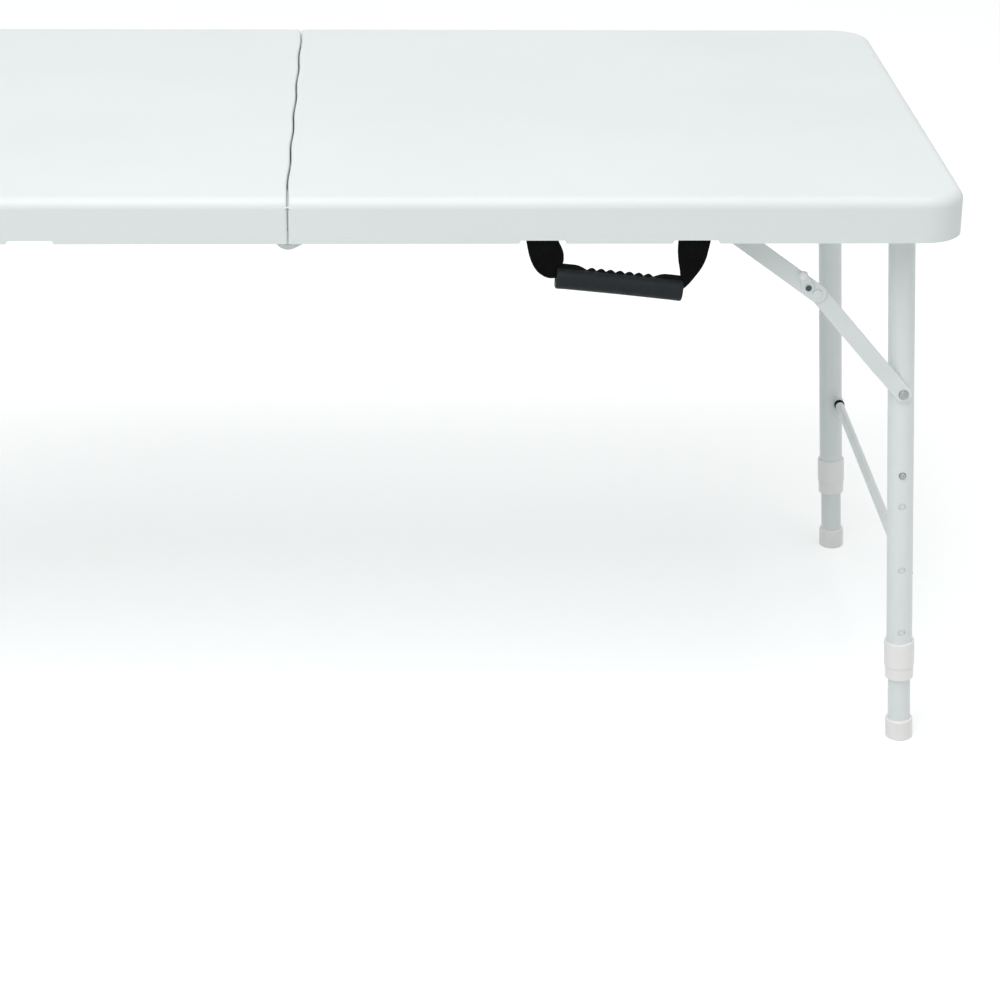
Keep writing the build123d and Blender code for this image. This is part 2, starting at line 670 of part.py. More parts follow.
# ---------------------------------------------------------------- folding stay
def link_plane(x, z, angle, y):
    """A plane square to Y, with its X axis along a link from its pin."""
    tilt = radians(angle)
    return Plane(origin=(x, -y, z), x_dir=(cos(tilt), 0, sin(tilt)), z_dir=(0, -1, 0))


def upper_link():
    """The upper link of the stay, from the bracket to the knee, with the knee's rivet head."""
    plane = link_plane(STAY_BRACKET_X, PIVOT_Z, UPPER_ANGLE, UPPER_Y)
    with BuildPart() as link:
        with BuildSketch(plane):
            with Locations((STAY_UPPER_LENGTH / 2, 0)):
                SlotCenterToCenter(STAY_UPPER_LENGTH, STAY_UPPER_WIDTH)
            Circle(STAY_PIN_RADIUS + STAY_PIN_CLEARANCE, mode=Mode.SUBTRACT)
            with Locations((STAY_UPPER_LENGTH - LATCH_FROM_KNEE, 0)):
                Circle(RIVET_RADIUS, mode=Mode.SUBTRACT)
        extrude(amount=STAY_STEEL)
        with BuildSketch(plane.offset(STAY_STEEL)):
            with Locations((STAY_UPPER_LENGTH, 0)):
                Circle(KNEE_HEAD_RADIUS)
        extrude(amount=STAY_PIN_HEAD, taper=HEAD_TAPER)
    return link.part


def lower_link():
    """The lower link of the stay, joggled so that its end lies on the leg, with the knee's back head."""
    width = STAY_LOWER_WIDTH
    long_way = Plane(
        origin=(LEG_PIN_X, 0, LEG_PIN_Z),
        x_dir=(cos(radians(LOWER_ANGLE)), 0, sin(radians(LOWER_ANGLE))),
        z_dir=(-sin(radians(LOWER_ANGLE)), 0, cos(radians(LOWER_ANGLE))),
    )
    plane = link_plane(LEG_PIN_X, LEG_PIN_Z, LOWER_ANGLE, LOWER_Y)
    middle = STAY_STEEL / 2
    with BuildPart() as link:
        with BuildSketch(long_way):
            with BuildLine():
                Polyline(
                    (-width / 2, -TAB_Y - middle),
                    (JOGGLE_FROM_PIN, -TAB_Y - middle),
                    (JOGGLE_FROM_PIN + JOGGLE_RUN, -LOWER_Y - middle),
                    (STAY_LOWER_LENGTH + width / 2, -LOWER_Y - middle),
                )
            trace(line_width=STAY_STEEL)
        extrude(amount=width / 2, both=True)
        with BuildSketch(plane.offset(STAY_STEEL * 2)):
            with Locations((STAY_LOWER_LENGTH / 2, 0)):
                SlotCenterToCenter(STAY_LOWER_LENGTH, width)
            Circle(STAY_PIN_RADIUS + STAY_PIN_CLEARANCE, mode=Mode.SUBTRACT)
        extrude(amount=-(STAY_STEEL * 3 + STAY_JOGGLE), mode=Mode.INTERSECT)
        with BuildSketch(plane):
            with Locations((STAY_LOWER_LENGTH, 0)):
                Circle(RIVET_HEAD_RADIUS)
        extrude(amount=-RIVET_HEAD, taper=HEAD_TAPER)
    return link.part


def latch():
    """The thumb latch that holds the knee straight, with its finger nub."""
    plane = link_plane(STAY_BRACKET_X, PIVOT_Z, UPPER_ANGLE, LATCH_Y)
    pin_x = STAY_BRACKET_X + (STAY_UPPER_LENGTH - LATCH_FROM_KNEE) * cos(radians(UPPER_ANGLE))
    pin_z = PIVOT_Z + (STAY_UPPER_LENGTH - LATCH_FROM_KNEE) * sin(radians(UPPER_ANGLE))
    nub_x = pin_x + LATCH_REACH * cos(radians(LATCH_LEAN))
    nub_z = pin_z + LATCH_REACH * sin(radians(LATCH_LEAN))
    with BuildPart() as lever:
        with BuildSketch(front_plane(LATCH_Y)):
            with Locations((pin_x, pin_z)):
                Circle(LATCH_RADIUS)
            with Locations((nub_x, nub_z)):
                Circle(LATCH_NUB_RADIUS)
            make_hull()
            with Locations((pin_x, pin_z)):
                Circle(RIVET_RADIUS + STAY_PIN_CLEARANCE, mode=Mode.SUBTRACT)
        extrude(amount=LATCH_STEEL)
        with BuildSketch(front_plane(LATCH_Y + LATCH_STEEL)):
            with Locations((nub_x, nub_z)):
                Circle(LATCH_NUB_RADIUS - LATCH_NUB_STEP)
        extrude(amount=STAY_PIN_HEAD)
    with BuildPart() as pin:
        with BuildSketch(front_plane(UPPER_Y)):
            with Locations((pin_x, pin_z)):
                Circle(RIVET_RADIUS)
        extrude(amount=LATCH_Y - UPPER_Y + LATCH_STEEL + FACE_CLEARANCE)
        with BuildSketch(front_plane(LATCH_Y + LATCH_STEEL + FACE_CLEARANCE)):
            with Locations((pin_x, pin_z)):
                Circle(LATCH_RIVET_HEAD_RADIUS)
        extrude(amount=RIVET_HEAD, taper=HEAD_TAPER)
    return lever.part, pin.part


# ---------------------------------------------------------------- carry handle
def grip_plane(y):
    """A plane square to Y through the middle of the grip, with its X axis along the grip."""
    tilt = radians(-GRIP_TILT)
    return Plane(
        origin=(HANDLE_X, -y, RIM_Z - GRIP_DROP),
        x_dir=(cos(tilt), 0, sin(tilt)),
        z_dir=(0, -1, 0),
    )


def strap():
    """The webbing: a band down from each anchor that bends into the grip and runs through it."""
    half = STRAP_SPREAD / 2
    slack = STRAP_WIDTH / 2
    grip_end = GRIP_LENGTH / 2 * cos(radians(GRIP_TILT)) + STRAP_OUT_OF_GRIP
    with BuildPart() as web:
        with BuildSketch(front_plane(STRAP_Y - STRAP_THICKNESS / 2)):
            for side in (-1, 1):
                outer_x = HANDLE_X + side * (half + slack)
                inner_x = HANDLE_X + side * (half - slack)
                end_x = HANDLE_X + side * grip_end
                end_z = RIM_Z - GRIP_DROP - side * grip_end * tan(radians(GRIP_TILT))
                high = end_z + GRIP_SLOT / 2
                low = end_z - GRIP_SLOT / 2
                with BuildLine():
                    Polyline((outer_x, RIM_Z), (inner_x, RIM_Z))
                    ThreePointArc(
                        (inner_x, RIM_Z),
                        (inner_x + side * STRAP_BULGE_IN, (RIM_Z + high) / 2),
                        (end_x, high),
                    )
                    Line((end_x, high), (end_x, low))
                    ThreePointArc(
                        (end_x, low),
                        (outer_x - side * STRAP_BULGE_OUT, RIM_Z - STRAP_BULGE_DROP),
                        (outer_x, RIM_Z),
                    )
                make_face()
                with Locations((HANDLE_X + side * half, RIM_Z)):
                    Rectangle(STRAP_WIDTH, STRAP_THICKNESS)
        extrude(amount=STRAP_THICKNESS)
        top_edges = web.edges().filter_by(Axis.X).group_by(Axis.Z)[-1]
        fillet(top_edges, STRAP_TOP_ROUND)
        with BuildSketch(grip_plane(STRAP_Y - STRAP_THICKNESS / 2)):
            Rectangle(GRIP_LENGTH + 2 * STRAP_OUT_OF_GRIP, GRIP_SLOT)
        extrude(amount=STRAP_THICKNESS)
    return web.part


def grip():
    """The moulded grip round the webbing, with a row of finger teeth between two shoulders."""
    axis = Plane(
        origin=(HANDLE_X, -STRAP_Y, RIM_Z - GRIP_DROP),
        x_dir=(0, 1, 0),
        z_dir=(cos(radians(GRIP_TILT)), 0, -sin(radians(GRIP_TILT))),
    )
    with BuildPart() as handle:
        with BuildSketch(axis):
            Circle(GRIP_RADIUS)
        extrude(amount=GRIP_LENGTH / 2, both=True)
        fillet(handle.edges().filter_by(GeomType.CIRCLE), GRIP_END_RADIUS)
        # flat seat on top for the teeth
        with BuildSketch(grip_plane(STRAP_Y)):
            with Locations((0, GRIP_RADIUS)):
                Rectangle(GRIP_TEETH * TOOTH_PITCH + 2 * TOOTH_SEAT_MARGIN, 2 * TOOTH_RADIUS)
        extrude(amount=GRIP_RADIUS, both=True, mode=Mode.SUBTRACT)
        with BuildSketch(grip_plane(STRAP_Y)):
            with Locations((0, GRIP_RADIUS - TOOTH_RADIUS)):
                with GridLocations(TOOTH_PITCH, 1, GRIP_TEETH, 1):
                    Circle(TOOTH_RADIUS)
                with GridLocations(GRIP_TEETH * TOOTH_PITCH + SHOULDER_RADIUS, 1, 2, 1):
                    Circle(SHOULDER_RADIUS)
        extrude(amount=TOOTH_HALF_WIDTH, both=True)
        with BuildSketch(axis):
            Rectangle(STRAP_THICKNESS, GRIP_SLOT)
        extrude(amount=GRIP_LENGTH, both=True, mode=Mode.SUBTRACT)
    return handle.part


def strap_fixings():
    """The tucked strap ends, their clamp plates and their screws, inside the front rim."""
    low = RIM_Z + STRAP_THICKNESS / 2 + FACE_CLEARANCE
    middle = low + STRAP_HEM + STRAP_TUCK / 2
    web_back = STRAP_Y - STRAP_THICKNESS / 2
    seat = front_plane(web_back - STRAP_PLATE)
    spread = STRAP_SCREW_SPREAD / 2
    places = [HANDLE_X - STRAP_SPREAD / 2, HANDLE_X + STRAP_SPREAD / 2]
    screw_places = [x + dx for x in places for dx in (-spread, spread)]
    with BuildPart() as ends:
        with BuildSketch(front_plane(web_back)):
            for x in places:
                with Locations((x, middle)):
                    Rectangle(STRAP_WIDTH, STRAP_TUCK + 2 * STRAP_HEM)
            for x in screw_places:
                with Locations((x, middle)):
                    Circle(SCREW_RADIUS, mode=Mode.SUBTRACT)
        extrude(amount=STRAP_THICKNESS)
    with BuildPart() as plates:
        with BuildSketch(seat):
            for x in places:
                with Locations((x, middle)):
                    RectangleRounded(
                        STRAP_WIDTH + 2 * STRAP_PLATE_MARGIN, STRAP_TUCK, STRAP_PLATE_CORNER
                    )
            for x in screw_places:
                with Locations((x, middle)):
                    Circle(SCREW_RADIUS, mode=Mode.SUBTRACT)
        extrude(amount=STRAP_PLATE)
    through = STRAP_PLATE + STRAP_THICKNESS
    screws = joined(*[screw(seat, x, middle, through) for x in screw_places])
    return ends.part, plates.part, screws


def strap_pads():
    """The moulded pads inside the front rim that the straps are screwed to."""
    seat_y = STRAP_Y + STRAP_THICKNESS / 2
    with BuildPart() as pads:
        with BuildSketch(front_plane(seat_y)):
            for side in (-1, 1):
                with Locations((HANDLE_X + side * STRAP_SPREAD / 2, UNDER_Z)):
                    Rectangle(
                        STRAP_WIDTH + 2 * PAD_MARGIN,
                        UNDER_Z - RIM_Z - NOTCH_DEPTH,
                        align=(Align.CENTER, Align.MAX),
                    )
        extrude(amount=HALF_WIDTH - RIM_WALL - seat_y)
    return pads.part


# ---------------------------------------------------------------- assembly of the nodes
def on_half(piece, half):
    """A piece drawn for the right half, placed on the named half of the table."""
    return piece if half == "right" else mirrored(piece, Plane.YZ)


with BuildPart() as handle_half:
    add(top_half(1))
    add(strap_pads())
export(handle_half.part, "top_right")
export(top_half(-1), "top_left")

flange_seat = Plane.XY.offset(FLANGE_UNDER_Z)
bracket_seat = flange_seat.offset(-STAY_STEEL)
flange_screws = [screw(flange_seat, x, -flange_middle(), RAIL_STEEL) for x in rail_screws()]
flange_screws += [
    screw(bracket_seat, x, -flange_middle(), STAY_STEEL + RAIL_STEEL) for x in bracket_screws()
]
latch_lever, latch_pin = latch()

corner_parts = {
    "leg_tube": leg_tube(),
    "inner_leg": inner_leg(),
    "foot": foot(),
    "snap_button": snap_button(),
    "snap_spring": snap_spring(),
    "stay_upper": joined(upper_link(), latch_pin),
    "stay_lower": lower_link(),
    "stay_latch": latch_lever,
    "rail": rail(),
}
pair_parts = {
    "leg_collars": collar(),
    "stay_pins": leg_pin(),
    "stay_brackets": stay_bracket(),
    "rail_screws": joined(*flange_screws),
}
cross_parts = {"pivot_tube": pivot_tube(), "brace_bar": brace_bar()}
# the right half's leaves lie outside the rails and the left half's inside
leaf_faces = {"right": (RAIL_FACE_Y, RAIL_BACK_Y), "left": (RAIL_BACK_Y - LEAF_STEEL,) * 2}

for half, (leaf_face, rivet_face) in leaf_faces.items():
    for name, piece in corner_parts.items():
        export(on_half(piece, half), f"{name}_front_{half}")
        export(on_half(mirrored(piece, Plane.XZ), half), f"{name}_back_{half}")
    for name, piece in pair_parts.items():
        export(on_half(both_edges(piece), half), f"{name}_{half}")
    for name, piece in cross_parts.items():
        export(on_half(piece, half), f"{name}_{half}")
    export(on_half(both_edges(hinge_leaf(leaf_face)), half), f"hinge_leaves_{half}")
    front_rivets = joined(bracket_pin(), *leaf_rivets(rivet_face))
    export(on_half(both_edges(front_rivets), half), f"rivets_{half}")

export(both_edges(hinge_pin()), "hinge_pins")
strap_ends, strap_plates, strap_screws = strap_fixings()
export(strap_ends, "strap_ends")
export(strap_plates, "strap_plates")
export(strap_screws, "strap_screws")
export(strap(), "handle_strap")
export(grip(), "handle_grip")
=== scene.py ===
"""Fold-in-half moulded table: finishes, fine forms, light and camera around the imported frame."""

import json  # noqa: E402
import logging  # noqa: E402
import math  # noqa: E402
from collections.abc import Callable, Iterable, Sequence  # noqa: E402
from dataclasses import dataclass  # noqa: E402
from enum import Enum  # noqa: E402
from functools import cached_property  # noqa: E402

import bmesh  # noqa: E402
import bpy  # noqa: E402
from mathutils import Matrix, Vector, noise  # noqa: E402

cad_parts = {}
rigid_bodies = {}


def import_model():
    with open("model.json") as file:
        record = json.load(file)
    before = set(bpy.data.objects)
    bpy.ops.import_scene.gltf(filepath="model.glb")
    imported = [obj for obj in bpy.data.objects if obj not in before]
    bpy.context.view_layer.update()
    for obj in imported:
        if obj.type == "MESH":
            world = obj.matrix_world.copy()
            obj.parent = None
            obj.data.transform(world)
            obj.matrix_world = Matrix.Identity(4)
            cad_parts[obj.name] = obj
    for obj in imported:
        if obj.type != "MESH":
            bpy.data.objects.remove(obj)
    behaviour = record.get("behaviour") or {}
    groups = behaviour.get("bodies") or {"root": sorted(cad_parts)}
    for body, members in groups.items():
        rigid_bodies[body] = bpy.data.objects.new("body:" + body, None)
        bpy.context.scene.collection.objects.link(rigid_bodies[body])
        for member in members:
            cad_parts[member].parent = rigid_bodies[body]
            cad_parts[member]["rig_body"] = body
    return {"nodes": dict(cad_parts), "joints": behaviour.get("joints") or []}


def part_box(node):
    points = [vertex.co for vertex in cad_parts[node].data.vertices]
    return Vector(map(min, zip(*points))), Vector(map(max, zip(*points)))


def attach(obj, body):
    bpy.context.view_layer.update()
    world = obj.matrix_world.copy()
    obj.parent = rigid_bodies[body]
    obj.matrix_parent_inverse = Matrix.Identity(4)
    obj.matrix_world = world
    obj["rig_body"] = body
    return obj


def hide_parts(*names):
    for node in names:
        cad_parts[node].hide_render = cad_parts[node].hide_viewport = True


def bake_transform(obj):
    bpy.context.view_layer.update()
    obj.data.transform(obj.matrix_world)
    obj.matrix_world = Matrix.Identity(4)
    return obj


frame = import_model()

LOG = logging.getLogger("folding_table")
MM = 0.001
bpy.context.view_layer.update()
WHITE = "#FFFFFF"
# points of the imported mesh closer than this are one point
WELD_MM = 0.008
# packed faces that turn less than this against each other lie in one plane
FLAT_DEG = 0.4
# edges that turn more than this are rounded, or shade as a crease
CREASE_DEG = 35.0
MOULDED_CREASE_DEG = 25.0
# turned pieces and the grip's ridge shade as a crease where they turn more than this
SHARP_DEG = 60.0
HEAD_SEGMENTS = 32

Tree = bpy.types.NodeTree
Socket = bpy.types.NodeSocket
Piece = bpy.types.Object
Pair = tuple[float, float]


class Half(Enum):
    """The two halves of the table, each side of the seam."""

    RIGHT = "right"
    LEFT = "left"

    @property
    def sign(self) -> int:
        """Direction of the half along X: 1 for the right half and -1 for the left."""
        return 1 if self is Half.RIGHT else -1


class Edge(Enum):
    """The two long edges of the table."""

    FRONT = "front"
    BACK = "back"

    @property
    def sign(self) -> int:
        """Direction of the edge along Y: -1 for the front and 1 for the back."""
        return -1 if self is Edge.FRONT else 1


@dataclass(frozen=True)
class Corner:
    """One corner of the table, where a leg stands."""

    half: Half
    edge: Edge

    def __str__(self) -> str:
        """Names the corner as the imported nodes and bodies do."""
        return f"{self.edge.value}_{self.half.value}"

    @property
    def outward(self) -> Vector:
        """Direction out of the table over its long edge."""
        return Vector((0, self.edge.sign, 0))

    def outer_y(self, node: str) -> float:
        """Returns how far out a node reaches over the long edge, in millimetres."""
        low, high = box_mm(node)
        return low.y if self.edge is Edge.FRONT else high.y


CORNERS = [Corner(half, edge) for half in Half for edge in Edge]


# ---- shader helpers
def linear(hex_colour: str) -> tuple[float, float, float, float]:
    """Turns an sRGB hex colour to the linear values that shader sockets take.

    Args:
        hex_colour: Colour as #RRGGBB.

    Returns:
        Linear red, green and blue, and full opacity.
    """
    values = [int(hex_colour[i : i + 2], 16) / 255 for i in (1, 3, 5)]
    return (*[v / 12.92 if v <= 0.04045 else ((v + 0.055) / 1.055) ** 2.4 for v in values], 1.0)


def add_node(
    tree: Tree,
    kind: str,
    settings: dict[str | int, object] | None = None,
    links: dict[str | int, Socket] | None = None,
) -> bpy.types.Node:
    """Adds one shader node with its settings and links.

    Args:
        tree: Node tree that gets the node.
        kind: Blender's type name of the node.
        settings: Values of input sockets, by name or number, or of node properties.
        links: Output sockets that feed input sockets, by name or number.

    Returns:
        The new node.
    """
    node = tree.nodes.new(kind)
    for name, value in (settings or {}).items():
        if isinstance(name, str) and hasattr(node, name):
            setattr(node, name, value)
        else:
            node.inputs[name].default_value = value
    for name, source in (links or {}).items():
        tree.links.new(source, node.inputs[name])
    return node


def add_noise(
    tree: Tree, place: Socket, size_mm: float, detail: float, roughness: float = 0.5
) -> Socket:
    """Adds a noise pattern of a real size.

    Args:
        tree: Node tree that gets the node.
        place: Coordinates in metres.
        size_mm: Size of its blotches.
        detail: Number of finer layers.
        roughness: Strength of the finer layers.

    Returns:
        The pattern, from 0 to 1.
    """
    settings = {"Scale": 1 / (size_mm * MM), "Detail": detail, "Roughness": roughness}
    return add_node(tree, "ShaderNodeTexNoise", settings, {"Vector": place}).outputs["Fac"]


def add_wave(
    tree: Tree, place: Socket, period_mm: float, direction: str, distortion: float = 0.0
) -> Socket:
    """Adds even bands that repeat at a real size.

    Args:
        tree: Node tree that gets the node.
        place: Coordinates in metres.
        period_mm: Distance from band to band.
        direction: Axis along which the bands follow each other.
        distortion: How far they waver.

    Returns:
        The pattern, from 0 to 1.
    """
    settings = {
        # at scale 1 the texture turns by 20 radians a metre
        "Scale": math.tau / 20 / (period_mm * MM),
        "bands_direction": direction,
        "Distortion": distortion,
        "Detail": 1.0,
    }
    return add_node(tree, "ShaderNodeTexWave", settings, {"Vector": place}).outputs["Fac"]


@dataclass(frozen=True)
class Finish:
    """What all finishes share: a name, a colour and how the surface scatters light."""

    name: str
    colour: str
    shade: str
    roughness: float
    roughness_spread: float
    cloud_mm: float
    ior: float = 1.5
    metallic: float = 0.0
    specular: float = 0.5
    relief_mm: float = 2.5
    relief_depth_mm: float = 0.02
    relief_detail: float = 2.0
    relief_roughness: float = 0.5

    def material(self) -> bpy.types.Material:
        """Returns the Blender material of this finish, made once and then reused."""
        return bpy.data.materials.get(self.name) or self._make()

    def _make(self) -> bpy.types.Material:
        """Builds the material: clouded colour, uneven roughness and the finish's own relief.

        Returns:
            The new material.
        """
        material = bpy.data.materials.new(self.name)
        material.use_nodes = True
        tree = material.node_tree
        tree.nodes.clear()
        place = self._place(tree)
        clouds = add_noise(tree, place, self.cloud_mm, detail=3.0, roughness=0.55)
        colour = add_node(
            tree,
            "ShaderNodeMix",
            {"data_type": "RGBA", 6: linear(self.colour), 7: linear(self.shade)},
            {0: self._colour_share(tree, place, clouds)},
        )
        rough = add_node(
            tree,
            "ShaderNodeMapRange",
            {
                "From Min": 0.3,
                "From Max": 0.7,
                "To Min": self.roughness - self.roughness_spread,
                "To Max": self.roughness + self.roughness_spread,
            },
            {"Value": clouds},
        )
        relief = add_node(
            tree,
            "ShaderNodeBump",
            {"Strength": 1.0, "Distance": self.relief_depth_mm * MM},
            {"Height": self._height(tree, place)},
        )
        shader = add_node(
            tree,
            "ShaderNodeBsdfPrincipled",
            {"IOR": self.ior, "Metallic": self.metallic, "Specular IOR Level": self.specular},
            {
                "Base Color": colour.outputs[2],
                "Roughness": rough.outputs[0],
                "Normal": relief.outputs[0],
            },
        )
        self._extra(shader)
        add_node(tree, "ShaderNodeOutputMaterial", {}, {"Surface": shader.outputs[0]})
        return material

    def _place(self, tree: Tree) -> Socket:
        """Returns the coordinates that the patterns lie in: metres in the piece's own space."""
        return add_node(tree, "ShaderNodeTexCoord").outputs["Object"]

    def _colour_share(self, tree: Tree, place: Socket, clouds: Socket) -> Socket:
        """Returns how much of the shade colour shows at each place."""
        return clouds

    def _height(self, tree: Tree, place: Socket) -> Socket:
        """Returns the height of the finish's fine relief, in depths of the relief."""
        return add_noise(tree, place, self.relief_mm, self.relief_detail, self.relief_roughness)

    def _extra(self, shader: bpy.types.Node) -> None:
        """Sets the shader's own sockets that are the same all over the surface."""


@dataclass(frozen=True)
class BlowMouldedPolyethylene(Finish):
    """High-density polyethylene, blow-moulded: a soft satin skin with a fine etched grain."""

    name: str = "blow_moulded_polyethylene"
    colour: str = "#E3EAE9"
    shade: str = "#DDE4E3"
    roughness: float = 0.44
    roughness_spread: float = 0.06
    ior: float = 1.54
    cloud_mm: float = 210.0
    # etched mould grain is about 0.8 mm; it is drawn at 1.8 mm so that it shows from 2.7 m
    relief_mm: float = 1.8
    relief_depth_mm: float = 0.05
    # the hollow blank cools unevenly, which leaves shallow waves about 70 mm long
    sink_mm: float = 70.0
    # depth of the waves, in depths of the grain
    sink_share: float = 6.0

    def _height(self, tree: Tree, place: Socket) -> Socket:
        """Lays the etched grain over long shallow waves.

        Args:
            tree: Node tree that gets the nodes.
            place: Coordinates in metres.

        Returns:
            The height, in depths of the relief.
        """
        grain = add_node(
            tree,
            "ShaderNodeTexVoronoi",
            {"Scale": 1 / (self.relief_mm * MM), "feature": "SMOOTH_F1", "Smoothness": 0.8},
            {"Vector": place},
        )
        return add_node(
            tree,
            "ShaderNodeMath",
            {"operation": "MULTIPLY_ADD", 1: self.sink_share},
            {0: add_noise(tree, place, self.sink_mm, detail=1.0), 2: grain.outputs["Distance"]},
        ).outputs[0]


@dataclass(frozen=True)
class PowderCoatedSteel(Finish):
    """Cold-rolled steel under baked polyester powder: even colour with an orange-peel skin."""

    name: str = "powder_coated_steel"
    colour: str = "#E9EFEE"
    shade: str = "#E2E9E8"
    roughness: float = 0.36
    roughness_spread: float = 0.05
    ior: float = 1.52
    cloud_mm: float = 60.0
    # the orange peel of baked powder
    relief_mm: float = 2.6
    relief_depth_mm: float = 0.035
    relief_detail: float = 1.5
    relief_roughness: float = 0.4


@dataclass(frozen=True)
class ZincPlatedSteel(Finish):
    """Zinc-plated steel: a bright bluish metal with the fine lines of cold heading."""

    name: str = "zinc_plated_steel"
    colour: str = "#B4B8BA"
    shade: str = "#8F9496"
    roughness: float = 0.34
    roughness_spread: float = 0.12
    metallic: float = 1.0
    cloud_mm: float = 5.0
    relief_mm: float = 0.9
    relief_depth_mm: float = 0.03
    # the lines are drawn out by one over this along the height
    squeeze: float = 0.08

    def _height(self, tree: Tree, place: Socket) -> Socket:
        """Draws wire lines that run along the piece's height.

        Args:
            tree: Node tree that gets the nodes.
            place: Coordinates in metres.

        Returns:
            The height, in depths of the relief.
        """
        scale = (1.0, 1.0, self.squeeze)
        drawn = add_node(tree, "ShaderNodeMapping", {"Scale": scale}, {"Vector": place})
        return super()._height(tree, drawn.outputs[0])


@dataclass(frozen=True)
class MouldedPolypropylene(Finish):
    """Injection-moulded white polypropylene: slightly waxy, with faint flow bands."""

    name: str = "moulded_white_polypropylene"
    colour: str = "#F8F7F6"
    shade: str = "#F2F1EF"
    roughness: float = 0.33
    roughness_spread: float = 0.05
    ior: float = 1.49
    cloud_mm: float = 25.0
    band_mm: float = 7.0
    relief_depth_mm: float = 0.03

    def _height(self, tree: Tree, place: Socket) -> Socket:
        """Returns the height of the flow bands across the moulding."""
        return add_wave(tree, place, self.band_mm, "Z", distortion=2.5)


@dataclass(frozen=True)
class MouldedBlackPolymer(Finish):
    """Black thermoplastic elastomer from a spark-eroded mould: satin, with a fine even pitting."""

    name: str = "moulded_black_elastomer"
    colour: str = "#2B3032"
    shade: str = "#212527"
    roughness: float = 0.42
    roughness_spread: float = 0.06
    # carbon black takes up most of what would be reflected
    specular: float = 0.1
    cloud_mm: float = 18.0
    # spark pitting is about 0.3 mm; it is drawn at 1.1 mm so that it shows
    relief_mm: float = 1.1
    relief_depth_mm: float = 0.05


@dataclass(frozen=True)
class WovenWebbing(Finish):
    """Woven polypropylene webbing: ribs of warp threads crossed by a fine weft."""

    name: str = "woven_black_webbing"
    # the gaps between threads take this colour and the thread tops the lighter shade colour:
    # painted shade in the gaps and a painted highlight on the tops
    colour: str = "#030303"
    shade: str = "#0A0A0B"
    roughness: float = 0.86
    roughness_spread: float = 0.08
    # light is lost between the threads
    specular: float = 0.12
    cloud_mm: float = 30.0
    # warp threads are about 1.2 mm apart and weft picks 1.8 mm; both are drawn a little wider
    warp_mm: float = 1.5
    weft_mm: float = 1.9
    relief_depth_mm: float = 0.16
    sheen: float = 0.015
    sheen_roughness: float = 0.4

    def _place(self, tree: Tree) -> Socket:
        """Returns coordinates that lie in the band: across it and along it, in metres."""
        return add_node(tree, "ShaderNodeUVMap", {"uv_map": "band"}).outputs[0]

    def _height(self, tree: Tree, place: Socket) -> Socket:
        """Weaves warp ribs along the band, each broken by the picks that cross it.

        Args:
            tree: Node tree that gets the nodes.
            place: Coordinates in metres.

        Returns:
            The height, in depths of the relief.
        """
        warp = add_wave(tree, place, self.warp_mm, "X")
        weft = add_wave(tree, place, self.weft_mm, "Y")
        multiply = {"operation": "MULTIPLY"}
        return add_node(tree, "ShaderNodeMath", multiply, {0: warp, 1: weft}).outputs[0]

    def _colour_share(self, tree: Tree, place: Socket, clouds: Socket) -> Socket:
        """Returns the share of the painted highlight on the thread tops, against the painted shade
        in the gaps between threads.
        """
        return self._height(tree, place)

    def _extra(self, shader: bpy.types.Node) -> None:
        """Gives the fibres their faint sheen."""
        shader.inputs["Sheen Weight"].default_value = self.sheen
        shader.inputs["Sheen Roughness"].default_value = self.sheen_roughness


DEEP_BLACK = MouldedBlackPolymer(
    name="moulded_deep_black", colour="#050506", shade="#030303", roughness=0.7, specular=0.12
)
STEEL = PowderCoatedSteel()
ZINC = ZincPlatedSteel()
WHITE_PLASTIC = MouldedPolypropylene()
# the latch rivet's dark colour is painted shade, standing for the dark hole at the latch pin
ZINC_PAINTED_HOLE_SHADE = ZincPlatedSteel(name="zinc_with_painted_hole_shade", colour="#5C6266", shade="#40464A")


# ---- mesh helpers
def new_piece(name: str, mesh: bpy.types.Mesh, finish: Finish) -> Piece:
    """Links a mesh to the scene as a smooth-shaded piece with its finish.

    Args:
        name: Name of the piece.
        mesh: Its mesh, in metres in the table's frame.
        finish: Its finish.

    Returns:
        The new object.
    """
    piece = bpy.data.objects.new(name, mesh)
    bpy.context.scene.collection.objects.link(piece)
    mesh.materials.clear()
    mesh.materials.append(finish.material())
    mesh.polygons.foreach_set("use_smooth", [True] * len(mesh.polygons))
    return piece


def mesh_from_rows(name: str, rows: Sequence[Sequence[Vector]], ring: bool) -> bpy.types.Mesh:
    """Skins closed rows of points with quads.

    Args:
        name: Name of the mesh.
        rows: Points row by row, all rows of one length, in millimetres.
        ring: Whether the last row joins the first; if not, both are filled.

    Returns:
        The new mesh, in metres.
    """
    bm = bmesh.new()
    grid = [[bm.verts.new(p * MM) for p in row] for row in rows]
    across = len(rows[0])
    for i in range(len(rows) if ring else len(rows) - 1):
        low, high = grid[i], grid[(i + 1) % len(rows)]
        for k in range(across):
            n = (k + 1) % across
            bm.faces.new((low[k], low[n], high[n], high[k]))
    if not ring:
        bm.faces.new(list(reversed(grid[0])))
        bm.faces.new(grid[-1])
    bmesh.ops.recalc_face_normals(bm, faces=bm.faces)
    mesh = bpy.data.meshes.new(name)
    bm.to_mesh(mesh)
    bm.free()
    return mesh


def turned(
    name: str, centre: Vector, axis: Vector, profile: Iterable[Pair], count: int = 48
) -> bpy.types.Mesh:
    """Turns a profile round an axis.

    Args:
        name: Name of the mesh.
        centre: Point on the axis where the profile's zero lies, in millimetres.
        axis: Direction of the axis.
        profile: Radius and distance along the axis, in millimetres.
        count: Number of segments round the axis.

    Returns:
        The new mesh, closed on itself.
    """
    ahead = axis.normalized()
    across = axis.orthogonal().normalized()
    other = ahead.cross(across)
    turns = [math.tau * k / count for k in range(count)]
    rows = [
        [
            centre + ahead * along + (across * math.cos(t) + other * math.sin(t)) * radius
            for t in turns
        ]
        for radius, along in profile
    ]
    return mesh_from_rows(name, rows, ring=True)


